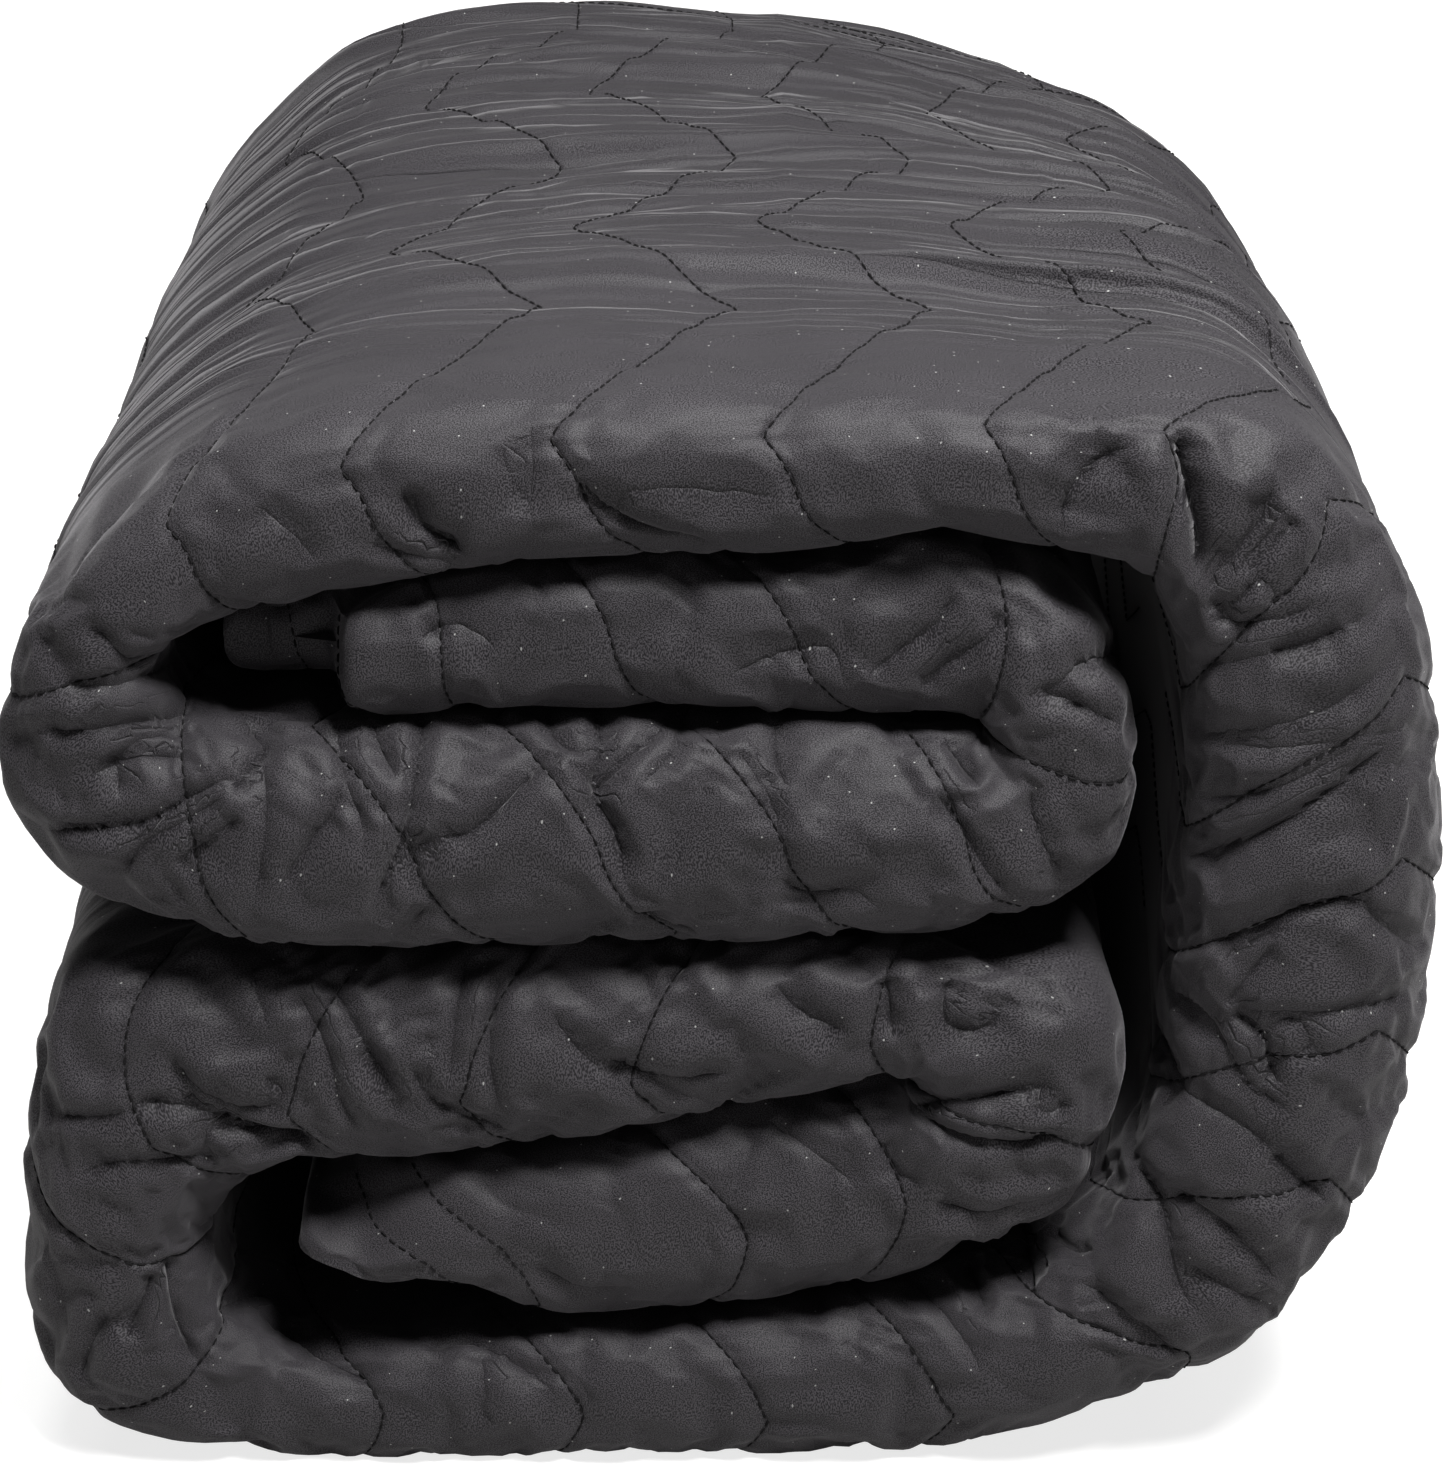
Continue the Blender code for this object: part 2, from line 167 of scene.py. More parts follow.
PHOTO_WIDE, PHOTO_HIGH = 1445, 1471
CREASES = (
    ("first, notch", 4.5, 6.0, 0.6, (402, 488), (414, 522), (440, 545), (470, 556)),
    ("first, beside the notch", 4.0, 2.6, 0.3, (365, 545), (420, 560), (462, 566)),
    ("first, pair left", 6.5, 1.8, 0.2, (500, 440), (508, 480), (520, 520)),
    ("first, pair right", 6.0, 1.4, 0.0, (530, 420), (532, 470), (528, 530)),
    ("first, shoulder fold", 5.5, 5.0, -0.7, (575, 478), (610, 512), (660, 536), (720, 545)),
    ("first, under the shoulder", 8.5, 2.4, -0.3, (590, 496), (640, 490), (720, 492), (790, 500)),
    ("first, left slant", 8.0, 2.4, 0.3, (255, 505), (300, 545), (318, 566)),
    ("first, low left", 4.0, 2.0, 0.0, (205, 598), (250, 608), (300, 603)),
    ("first, hollow", 10.0, 6.0, 0.4, (1125, 445), (1090, 470), (1065, 505), (1060, 535)),
    ("first, hollow's lip", 4.5, 2.6, -0.5, (1135, 448), (1108, 452), (1072, 484)),
    ("bend, deep seam fold", 4.0, 7.0, 0.5, (1180, 425), (1186, 480), (1195, 540), (1190, 590)),
    ("bend, right of the fold", 5.0, 5.0, -0.6, (1275, 490), (1255, 530), (1230, 565), (1200, 600)),
    ("bend, second slant", 4.0, 3.0, -0.4, (1300, 515), (1270, 550), (1240, 580)),
    ("bend, swirl top", 3.5, 3.4, 0.5, (1200, 612), (1240, 600), (1262, 580), (1275, 595), (1262, 612)),
    ("bend, swirl tail", 3.5, 3.0, 0.3, (1205, 622), (1250, 625), (1300, 614), (1320, 600)),
    ("bend, fan 1", 5.0, 2.6, 0.3, (1180, 672), (1250, 660), (1330, 640), (1390, 600)),
    ("bend, fan 2", 4.5, 2.6, -0.3, (1265, 655), (1310, 645), (1350, 630)),
    ("bend, fan 3", 5.0, 2.6, 0.2, (1190, 735), (1260, 730), (1330, 710), (1395, 660)),
    ("bend, fan 4", 3.5, 2.2, 0.2, (1215, 745), (1270, 750), (1330, 742), (1420, 728)),
    ("bend, long slant", 6.0, 4.6, -0.6, (1180, 858), (1250, 838), (1320, 800), (1405, 735)),
    ("bend, slant above", 4.5, 2.8, 0.3, (1190, 800), (1260, 795), (1330, 765), (1375, 735)),
    ("bend, low slant", 5.5, 4.4, -0.5, (1200, 945), (1260, 930), (1320, 905), (1385, 900)),
    ("bend, corner of the slant", 4.5, 3.4, 0.4, (1360, 905), (1395, 935), (1432, 958)),
    ("bend, dark slant", 5.0, 3.4, -0.4, (1222, 1008), (1250, 975), (1280, 945)),
    ("bend, swirl below", 5.0, 5.5, 0.5, (1222, 1015), (1262, 1040), (1275, 1080), (1288, 1085)),
    ("bend, swirl ring", 3.5, 2.8, -0.3, (1262, 1030), (1300, 1022), (1310, 1045), (1290, 1060)),
    ("bend, level seam fold", 4.0, 2.8, 0.2, (1225, 1012), (1300, 1012), (1370, 1008), (1425, 990)),
    ("bend, sweep 1", 8.0, 4.6, -0.5, (1165, 985), (1215, 1030), (1250, 1085), (1300, 1115)),
    ("bend, sweep 2", 8.0, 3.6, 0.3, (1150, 1015), (1180, 1090), (1235, 1125), (1290, 1160)),
    ("bend, low hollow", 7.0, 5.0, 0.4, (1270, 1150), (1300, 1185), (1330, 1205)),
    ("bend, low fold 1", 5.0, 3.6, -0.4, (1160, 1185), (1210, 1215), (1255, 1255), (1290, 1292)),
    ("bend, low fold 2", 6.0, 4.2, 0.5, (1135, 1160), (1160, 1220), (1180, 1290), (1200, 1320)),
    ("bend, low fold 3", 5.0, 3.0, 0.2, (1185, 1265), (1225, 1290), (1275, 1308)),
    ("bend, low fold 4", 4.5, 3.4, -0.4, (1078, 1280), (1120, 1310), (1165, 1345), (1190, 1370)),
    ("bend, tuck", 5.0, 5.0, 0.0, (1018, 1222), (1024, 1255), (1028, 1295)),
    ("bend, tuck beside", 4.5, 3.4, 0.4, (1042, 1230), (1075, 1250), (1096, 1250)),
    ("left bend, level fold", 3.5, 3.6, -0.4, (30, 731), (80, 734), (140, 722), (205, 708)),
    ("left bend, upper sweep", 5.0, 3.0, 0.4, (55, 688), (110, 690), (160, 670), (190, 650)),
    ("left bend, curved fold", 3.0, 2.6, 0.3, (92, 620), (105, 640), (130, 662), (160, 655)),
    ("left bend, star 1", 4.0, 3.4, 0.0, (82, 785), (112, 770), (135, 760), (190, 755)),
    ("left bend, star 2", 3.5, 3.6, 0.3, (110, 755), (116, 775), (118, 800)),
    ("left bend, star 3", 3.5, 2.4, 0.3, (108, 768), (140, 742), (200, 730)),
    ("left bend, long fold", 3.0, 3.4, 0.5, (22, 832), (90, 832), (150, 822), (205, 790), (240, 770)),
    ("left bend, branch", 3.5, 3.2, -0.3, (118, 885), (140, 850), (190, 820), (235, 790)),
    ("third, gather left", 5.0, 4.6, 0.4, (245, 715), (262, 745), (245, 775), (226, 800)),
    ("third, slant 1", 4.5, 3.0, -0.4, (170, 870), (205, 845), (245, 812)),
    ("third, end hem ridge", 3.0, 2.6, 0.3, (262, 760), (266, 820), (258, 880), (254, 905)),
    ("third, slant 2", 4.0, 3.2, -0.4, (280, 890), (305, 850), (330, 815), (345, 780)),
    ("third, second hem ridge", 2.6, 2.2, 0.3, (336, 720), (345, 780), (360, 820), (366, 850)),
    ("third, little fork", 3.0, 2.8, 0.0, (372, 720), (385, 755), (398, 780)),
    ("third, seam pleat", 3.0, 3.4, 0.5, (422, 705), (416, 770), (402, 835), (365, 920)),
    ("third, long slant", 4.5, 3.8, -0.5, (552, 745), (520, 790), (470, 835), (420, 850), (395, 885)),
    ("third, foot 1", 4.0, 2.8, 0.3, (450, 850), (420, 865), (402, 890)),
    ("third, foot 2", 3.5, 2.6, 0.0, (430, 905), (408, 930), (390, 940)),
    ("third, middle tuck", 4.0, 5.0, 0.5, (590, 700), (600, 740), (592, 790), (612, 835), (628, 900)),
    ("third, tuck beside", 3.5, 3.6, -0.4, (590, 800), (608, 775), (640, 745), (672, 715)),
    ("third, upper fork", 3.0, 3.0, 0.0, (545, 705), (555, 735), (575, 752), (602, 742)),
    ("third, foot hollow", 6.0, 4.0, 0.3, (640, 915), (660, 930), (700, 935)),
    ("third, curved seam fold", 3.5, 2.4, 0.4, (680, 700), (675, 740), (640, 790)),
    ("third, seam fold right", 3.0, 2.2, 0.3, (735, 745), (765, 790), (785, 850)),
    ("third, upper hollow", 6.0, 3.4, 0.3, (775, 720), (780, 770), (790, 790)),
    ("third, gather right", 4.5, 5.0, 0.3, (945, 735), (965, 765), (980, 790)),
    ("third, slant right", 4.0, 3.4, 0.4, (935, 790), (965, 840), (990, 880), (1022, 905)),
    ("third, right tail", 4.0, 3.4, -0.3, (1028, 790), (1045, 850), (1072, 885)),
    ("third, low hollow", 7.0, 3.4, 0.3, (775, 880), (810, 900), (850, 895), (880, 910)),
    ("second, slant 1", 5.0, 4.0, -0.4, (958, 590), (940, 620), (905, 650), (860, 685)),
    ("second, slant 2", 5.0, 4.2, -0.4, (1008, 610), (985, 640), (950, 665), (910, 700)),
    ("second, fan 1", 4.5, 4.0, 0.4, (1125, 650), (1090, 660), (1050, 690), (1020, 698)),
    ("second, fan 2", 3.5, 3.4, -0.3, (1040, 698), (1080, 705), (1125, 728)),
    ("second, hollow", 9.0, 3.6, 0.3, (720, 680), (790, 655), (830, 650), (845, 690)),
    ("second, left hollow", 8.0, 3.0, 0.3, (420, 640), (450, 625), (500, 650)),
    ("fourth, end fold 1", 2.6, 2.0, 0.3, (250, 955), (262, 1010), (270, 1030)),
    ("fourth, slant 1", 3.5, 3.4, 0.5, (320, 965), (345, 1010), (370, 1060), (405, 1110)),
    ("fourth, slant 2", 3.0, 2.6, 0.3, (295, 985), (325, 1050), (345, 1110), (370, 1145)),
    ("fourth, slant 3", 3.5, 3.0, 0.4, (355, 1050), (380, 1090), (400, 1120)),
    ("fourth, gather 1", 4.5, 4.0, -0.4, (170, 1060), (195, 1090), (235, 1110), (285, 1110)),
    ("fourth, gather 2", 4.0, 5.0, 0.4, (125, 1105), (180, 1110), (250, 1135), (330, 1150)),
    ("fourth, gather 3", 3.5, 4.0, 0.3, (205, 1135), (260, 1138), (320, 1150)),
    ("fourth, hook", 3.5, 3.4, 0.3, (220, 1160), (205, 1145), (215, 1128), (240, 1130)),
    ("fourth, left fold", 3.5, 3.0, -0.3, (55, 1115), (95, 1118), (140, 1110)),
    ("fourth, low left fold", 4.0, 3.0, 0.3, (75, 1180), (110, 1165), (165, 1162), (230, 1158)),
    ("fourth, star", 3.5, 3.4, 0.0, (262, 1080), (280, 1095), (270, 1125)),
    ("fourth, stitch fold", 3.0, 3.0, 0.3, (468, 945), (455, 1020), (448, 1095)),
    ("fourth, second fold", 3.0, 2.4, -0.3, (502, 965), (490, 1030), (495, 1090), (512, 1125)),
    ("fourth, hollow", 5.0, 3.4, 0.4, (410, 1060), (425, 1095), (470, 1125), (520, 1130)),
    ("fourth, middle gather", 5.0, 4.4, -0.4, (600, 1060), (640, 1075), (680, 1082), (740, 1075)),
    ("fourth, middle slant", 6.0, 3.0, 0.3, (550, 1010), (575, 1050), (610, 1080)),
    ("fourth, small star", 3.5, 3.0, 0.0, (655, 945), (685, 960), (660, 985)),
    ("fourth, right gather 1", 6.0, 4.4, 0.3, (775, 985), (800, 1015), (850, 1035)),
    ("fourth, right fold", 4.0, 5.0, 0.0, (885, 975), (890, 1010), (892, 1040)),
    ("fourth, right curve", 6.0, 5.0, 0.4, (960, 970), (945, 1000), (950, 1030), (980, 1035), (1012, 1005)),
    ("fourth, curve's star", 3.5, 3.0, 0.0, (980, 1000), (1005, 1010), (1015, 995)),
    ("fifth, mouth fold 1", 4.5, 5.0, 0.4, (905, 1105), (960, 1102), (1010, 1095), (1072, 1092)),
    ("fifth, mouth fold 2", 4.0, 4.4, -0.4, (910, 1110), (960, 1135), (1020, 1145), (1075, 1135)),
    ("fifth, mouth fold 3", 3.5, 3.0, 0.3, (1030, 1105), (1050, 1115), (1075, 1100)),
    ("fifth, slant", 6.0, 2.6, 0.3, (770, 1120), (810, 1150), (860, 1190)),
    ("fifth, seam knot", 4.0, 2.8, 0.3, (880, 1140), (905, 1180), (925, 1185)),
    ("fifth, low hollow", 6.0, 3.4, -0.3, (530, 1265), (580, 1290), (640, 1290)),
    ("fifth, right hollow", 7.0, 2.8, 0.3, (930, 1200), (980, 1215), (1040, 1200)),
    ("sixth, left fold", 4.0, 4.6, 0.5, (170, 1255), (172, 1300), (185, 1340), (200, 1370)),
    ("sixth, dark tuck", 4.5, 5.0, -0.3, (155, 1270), (140, 1310), (125, 1345)),
    ("sixth, corner fold", 4.0, 4.4, 0.4, (75, 1385), (90, 1350), (115, 1310)),
    ("sixth, left slant", 6.0, 4.0, 0.3, (260, 1310), (320, 1350), (380, 1395)),
    ("sixth, mouth fold", 6.0, 4.0, -0.3, (215, 1310), (270, 1290), (310, 1320)),
    ("sixth, puff edge", 5.0, 3.0, 0.3, (420, 1350), (470, 1340), (530, 1375), (560, 1400)),
    ("sixth, middle dimple", 4.0, 2.4, 0.0, (480, 1345), (485, 1400), (480, 1430)),
    ("sixth, fork", 4.5, 4.4, 0.0, (962, 1255), (978, 1290), (985, 1315)),
    ("sixth, seam slant", 5.0, 3.0, 0.4, (905, 1270), (950, 1320), (985, 1375)),
)


# The path of the cloth through its folds

def ease(x):
    x = np.clip(x, 0.0, 1.0)
    return x * x * (3 - 2 * x)


def curve_through(knots, values, at):
    """A smooth curve through rows of values at rising knots, read at each place in at."""
    slopes = np.gradient(values, knots, axis=0)
    i = np.clip(np.searchsorted(knots, at, side="right") - 1, 0, len(knots) - 2)
    width = (knots[i + 1] - knots[i])[:, None]
    t = (at - knots[i])[:, None] / width
    return (
        (2 * t**3 - 3 * t**2 + 1) * values[i]
        + (t**3 - 2 * t**2 + t) * width * slopes[i]
        + (3 * t**2 - 2 * t**3) * values[i + 1]
        + (t**3 - t**2) * width * slopes[i + 1]
    )


def lengths(points):
    """How far along a line of points each of them lies, from 0."""
    steps = np.linalg.norm(np.diff(points, axis=0), axis=1)
    return np.concatenate([[0.0], np.cumsum(steps)])


def averaged(values, reach):
    """A row of values, each averaged with so many of its neighbours on either side."""
    padded = np.pad(values, reach, mode="edge")
    return np.convolve(padded, np.full(2 * reach + 1, 1 / (2 * reach + 1)), mode="valid")


def line_heights(line, x):
    heights = np.array(LINE_HEIGHTS[line])[:, None]
    return curve_through(np.array(STATION_X), heights, x)[:, 0]


def layer_ribs(layer, start, end):
    """The ribs of a layer, with half of the air left on each of its faces."""
    _, outer, inner, recess = layer
    count = round(abs(end - start) / RIB_SPACING) + 1
    x = np.linspace(start, end, count)
    high, low = line_heights(outer, x), line_heights(inner, x)
    air = np.sign(high - low) * LAYER_GAP / 2
    outer_z = high - PRESSED if outer == "bottom" else high - air
    hanging = np.clip(1 - (x - FIRST_END_X) / END_LIFT_RUNOUT, 0, 1) * (start == FIRST_END_X)
    inner_z = low + air + END_LIFT * hanging**2
    return np.column_stack([x, outer_z, x, inner_z, np.full(count, recess)])


def all_ribs():
    """Every rib of the cloth's path in order, as rows of outer x, z, inner x, z and recess."""
    ribs = []
    for number, layer in enumerate(LAYERS):
        start = FIRST_END_X if number == 0 else FOLDS[number - 1][2]
        end = LAST_END_X if number == len(FOLDS) else FOLDS[number][1]
        ribs += layer_ribs(layer, start, end).tolist()
        if number < len(FOLDS):
            _, _, _, recess, fold = FOLDS[number]
            ribs += [[*outer, *inner, recess] for outer, inner in fold]
    return np.array(ribs)


def middle_length(ribs):
    return lengths((ribs[:, :2] + ribs[:, 2:4]) / 2)


def smooth_path(ribs):
    """A curve through the ribs, read at even steps along its middle and softened there."""
    knots = np.concatenate([[0.0], np.cumsum(np.sqrt(np.diff(middle_length(ribs))))])
    places = np.arange((len(ribs) - 1) * PATH_STEPS + 1) / PATH_STEPS
    rough = curve_through(knots, ribs, np.interp(places, np.arange(len(ribs)), knots))
    length = middle_length(rough)
    even = np.linspace(0, length[-1], round(length[-1] / PATH_SPACING))
    path = np.column_stack([np.interp(even, length, column) for column in rough.T])
    reach = round(3 * PATH_SOFTNESS / PATH_SPACING)
    weights = np.exp(-0.5 * (np.arange(-reach, reach + 1) * PATH_SPACING / PATH_SOFTNESS) ** 2)
    weights /= weights.sum()
    for column in path.T:
        before = 2 * column[0] - column[reach:0:-1]
        after = 2 * column[-1] - column[-2:-reach - 2:-1]
        column[:] = np.convolve(np.concatenate([before, column, after]), weights, mode="valid")
    return path


PATH = smooth_path(all_ribs())
PATH_LENGTH = middle_length(PATH)
CLOTH_LENGTH = float(PATH_LENGTH[-1])


def turned(length):
    """How far the path has turned, in radians, at each length along it."""
    across = PATH[:, :2] - PATH[:, 2:4]
    return np.interp(length, PATH_LENGTH, np.unwrap(np.arctan2(across[:, 1], across[:, 0])))


def stitch_sway():
    """How far the zigzag swings at each step of the path, from 0 to 1."""
    half = TURN_WINDOW / 2
    turn = np.abs(turned(PATH_LENGTH + half) - turned(PATH_LENGTH - half)) / TURN_WINDOW
    sway = np.minimum(1.0, EASY_TURN / np.maximum(turn, 1e-6)) ** 2
    return averaged(sway, round(SWAY_RUNOUT / PATH_SPACING / 2))


PATH_SWAY = stitch_sway()


def zigzag(w, along):
    """The sideways place of a stitch line at w, as a share of its swing."""
    places, drifts = np.array(ZIGZAG_DRIFT).T
    points, shares = np.array(ZIGZAG_POINTS).T
    return np.interp(w - np.interp(along, places, drifts), points, shares)


def stitch_places():
    """Where each stitch line crosses the cloth's length, in order."""
    places, numbers = zip(*STITCH_LINES)
    return np.interp(range(numbers[0], numbers[-1] + 1), numbers, places)


def between_stitches():
    """The cloth's length from each stitch line to the next, and out to both of its ends."""
    bounds = [0.0, *stitch_places(), CLOTH_LENGTH]
    return zip(bounds, bounds[1:])


def padding(distance_to_edge, full):
    """A sheet's thickness at a distance from its nearest cut edge."""
    hem = np.minimum(HEM_THICKNESS, full)
    thick = hem + (full - hem) * ease((distance_to_edge - HEM_ROUNDING) / HEM_RUNOUT)
    rounded = np.clip(distance_to_edge / HEM_ROUNDING, 0, 1)
    return thick * (HEM_EDGE_SHARE + (1 - HEM_EDGE_SHARE) * np.sqrt(rounded * (2 - rounded)))


# The cloth's grid: columns follow the stitch lines, and rows run along the blanket

COLUMN_STEP = 0.0014
COLUMN_TURN = 0.055  # radians between two columns in a fold
CROWDING = 0.45  # how much closer the columns stand beside a stitch line
FRONT_FROM, FRONT_TO, FRONT_STEP = -0.070, 0.085, 0.0013
FACE_TO, FACE_STEP = 0.440, 0.0020  # past here the rows follow the hem
INNER_STEP = 0.016
HEM_LINES = (0.020, 0.034)
HEM_LINE_NEAR = 0.0002  # a row so near to a hem's stitch line is that line
HEM_ROWS = (0.0400, 0.0370, 0.0352, 0.0340, 0.0328, 0.0310, 0.0270, 0.0230, 0.0212, 0.0200, 0.0188,
            0.0170, 0.0135, 0.0100, 0.0065, 0.0040, 0.0026, 0.0014, 0.0005, 0.0000)
ROWS_TO_HEM = 12
SLIT_STEPS = 12
CLOTH_TRIANGLES = 192000


def column_places():
    """Each column's place along the cloth, and how far past the nearest stitch line it lies."""
    places = []
    for start, end in between_stitches():
        turn = abs(turned(end) - turned(start))
        steps = round(max((end - start) / COLUMN_STEP, turn / COLUMN_TURN))
        t = np.arange(steps) / steps
        places.append(start + (end - start) * (t - CROWDING * np.sin(2 * math.pi * t) / (2 * math.pi)))
    places = np.append(np.concatenate(places), CLOTH_LENGTH)
    gaps = places[:, None] - stitch_places()
    return places, gaps[np.arange(len(places)), np.abs(gaps).argmin(axis=1)]


class Cloth:
    """Where points of the cloth lie, for arrays of places along it and rows across it.

    side is 1 on the outer sheet and -1 on the inner one, and reach is the distance round from
    the folded front edge."""

    def __init__(self, start, side, w, to_hem=HEM_RUNOUT, hemward=0.0, inside=False):
        flap = END_FLAP * ease((FLAP_TO - start) / FLAP_BLEND)
        outer = ease(0.5 + (w - flap) / STAGGER_BLEND)
        end = CLOTH_LENGTH - start
        self.near_end = np.minimum(start, end)
        stagger = ease(end / STAGGER_RUNOUT) - ease(start / STAGGER_RUNOUT)
        along = start + outer * END_STAGGER * stagger
        sway = np.interp(along, PATH_LENGTH, PATH_SWAY)
        sway = sway * ease(self.near_end / ZIGZAG_RUNOUT) * ease(to_hem / HEM_RUNOUT)
        self.along = along + np.where(inside, 0.0, ZIGZAG_SWING * zigzag(w, along) * sway)
        row = [np.interp(self.along, PATH_LENGTH, PATH[:, i]) for i in range(5)]
        self.middle_x, self.middle_z = (row[0] + row[2]) / 2, (row[1] + row[3]) / 2
        thick = np.hypot(row[0] - row[2], row[1] - row[3])
        self.across_x, self.across_z = (row[0] - row[2]) / thick, (row[1] - row[3]) / thick
        self.thick = thick
        set_back = END_SET_BACK * ease((SET_BACK_TO - self.along) / SET_BACK_BLEND)
        self.front = FRONT_Y + row[4] + set_back
        self.bead = thick / 2 * BEAD_DEPTH_SHARE
        self.bead_arc = thick / 4 * math.pi
        stray = HEM_WANDER * (0.5 + 0.5 * np.sin(HEM_WAVES * self.along))
        self.rear = REAR_Y - stray - HEM_OFFSET * (side < 0)
        self.half_width = self.bead_arc + self.rear - self.front - self.bead
        self.side = side
        self.reach = (1 - hemward) * np.abs(w) + hemward * (self.half_width - to_hem)
        self.left = np.minimum(self.half_width - self.reach, self.near_end)

    def place(self, offset, y):
        x = self.middle_x + self.across_x * offset
        z = self.middle_z + self.across_z * offset
        rearward = (y - FRONT_Y) / (REAR_Y - FRONT_Y)
        sunk = SLUMP_SLOPE * np.maximum(x - SLUMP_FROM_X, 0) * rearward * z / TOP
        risen = np.interp(x, *zip(*REAR_RISE))
        risen = risen * ease((y - RISE_FROM_Y) / (RISE_TO_Y - RISE_FROM_Y))
        risen = risen * ease((z - RISE_FROM_Z) / (RISE_TO_Z - RISE_FROM_Z))
        return np.stack([CENTRE_X + x * (1 + REAR_SPREAD * rearward), y, z - sunk + risen], axis=-1)

    def face(self):
        """Points on the outside of the cloth and the directions that it faces there."""
        half = padding(self.left, self.thick / 2 - SHEET_GAP / 2) + SHEET_GAP / 2
        turn = np.clip(self.reach / self.bead_arc, 0, 1) * math.pi / 2
        cos, sin = np.maximum(np.cos(turn), 0), np.sin(turn)
        past = np.maximum(self.reach - self.bead_arc, 0)
        y = self.front + self.bead * (1 - cos**BEAD_SQUARENESS) + past
        points = self.place(self.side * half * sin**BEAD_SQUARENESS, y)
        ahead = cos ** (2 - BEAD_SQUARENESS) / self.bead
        sideways = self.side * sin ** (2 - BEAD_SQUARENESS) / half
        facing = np.stack([self.across_x * sideways, -ahead, self.across_z * sideways], axis=-1)
        return points, facing / np.linalg.norm(facing, axis=-1, keepdims=True)

    def slit(self, depth):
        """Points on the walls of the slit between the sheets, at a share of its depth."""
        y = self.rear + (self.front + self.bead - self.rear) * depth
        return self.place(self.side * SHEET_GAP / 2, y)


def face_rows():
    """Every row on the outside, from the outer sheet's hem round the front to the inner one's:
    side, w, the distance to the hem, and the share by which that distance places the row."""
    hem = [(FACE_TO, left, 1.0) for left in HEM_ROWS]
    between = [(FACE_TO, HEM_RUNOUT, k / ROWS_TO_HEM) for k in range(1, ROWS_TO_HEM)]
    count = round((FACE_TO - FRONT_TO) / FACE_STEP)
    face = [(w, HEM_RUNOUT, 0.0) for w in np.linspace(FRONT_TO, FACE_TO, count + 1)[1:]]
    rows = [(1, *row) for row in (hem[::-1] + between[::-1] + face[::-1])]
    count = round((FRONT_TO - FRONT_FROM) / FRONT_STEP)
    front = np.linspace(FRONT_TO, FRONT_FROM, count + 1)
    rows += [(1 if w >= 0 else -1, abs(w), HEM_RUNOUT, 0.0) for w in front]
    count = round((FACE_TO + FRONT_FROM) / INNER_STEP)
    inner = [(w, HEM_RUNOUT, 0.0) for w in np.linspace(-FRONT_FROM, FACE_TO, count + 1)[1:]]
    return rows + [(-1, *row) for row in (inner + between[2::3] + hem)]


def smooth_noise(u, v, seed):
    """Smooth uneven values from -1 to 1 over a plane, with about one hill to a unit."""
    size = 512
    lattice = np.random.default_rng(seed).uniform(-1, 1, (size, size))
    i, j = np.floor(u).astype(int), np.floor(v).astype(int)
    s, t = ease(u - i), ease(v - j)
    i, j = i % size, j % size
    k, m = (i + 1) % size, (j + 1) % size
    low = lattice[i, j] * (1 - s) + lattice[k, j] * s
    high = lattice[i, m] * (1 - s) + lattice[k, m] * s
    return low * (1 - t) + high * t


def grid_quads(numbers):
    """Quads between the neighbours in a grid of vertex numbers."""
    quads = np.stack([numbers[:-1, :-1], numbers[1:, :-1], numbers[1:, 1:], numbers[:-1, 1:]], -1)
    return quads.reshape(-1, 4)


# The photo's camera

CAMERA_AT = (CENTRE_X, -1.069, 0.603)
CAMERA_TIPPED = math.radians(66)
CAMERA_LENS, CAMERA_SENSOR = 83.2, 36.0


def make_camera():
    bpy.ops.object.camera_add(location=CAMERA_AT, rotation=(CAMERA_TIPPED, 0, 0))
    camera = bpy.context.object
    camera.name = "photo_camera"
    camera.data.lens = CAMERA_LENS
    camera.data.sensor_width = CAMERA_SENSOR
    camera.data.clip_start = 0.05
    bpy.context.scene.camera = camera
    return camera


def photo_ray(camera, x, y):
    """The way from the camera through a pixel of the photo."""
    across = (x - PHOTO_WIDE / 2) / PHOTO_HIGH * CAMERA_SENSOR
    up = (PHOTO_HIGH / 2 - y) / PHOTO_HIGH * CAMERA_SENSOR
    return camera.matrix_world.to_3x3() @ Vector((across, up, -camera.data.lens)).normalized()


# The creases, as heights over the cloth's plain faces

CREASE_MORE = 1.10
CREASE_PIXELS = 3  # pixels of the photo between two points of a crease
CREASE_FADES_IN, CREASE_FADES_OUT = 0.14, 0.22  # shares of its length
CREASE_UNEVEN = 0.3
CREASE_RIDGE, RIDGE_AT, RIDGE_WIDE = 0.32, 1.7, 1.5  # a share of the depth, then widths
CREASE_SLOPE, SLOPE_WIDE = 0.45, 1.7
CREASE_BOTTOM, BOTTOM_WIDE, BOTTOM_ROUND = 0.45, 0.85, 1.6
CREASE_REACH = 3.5  # widths
CREASE_OWN = 0.035  # a crease shapes only cloth that is so near, both along and across
CREASE_MARKED, CREASE_MARK_FADES = 0.007, 0.004


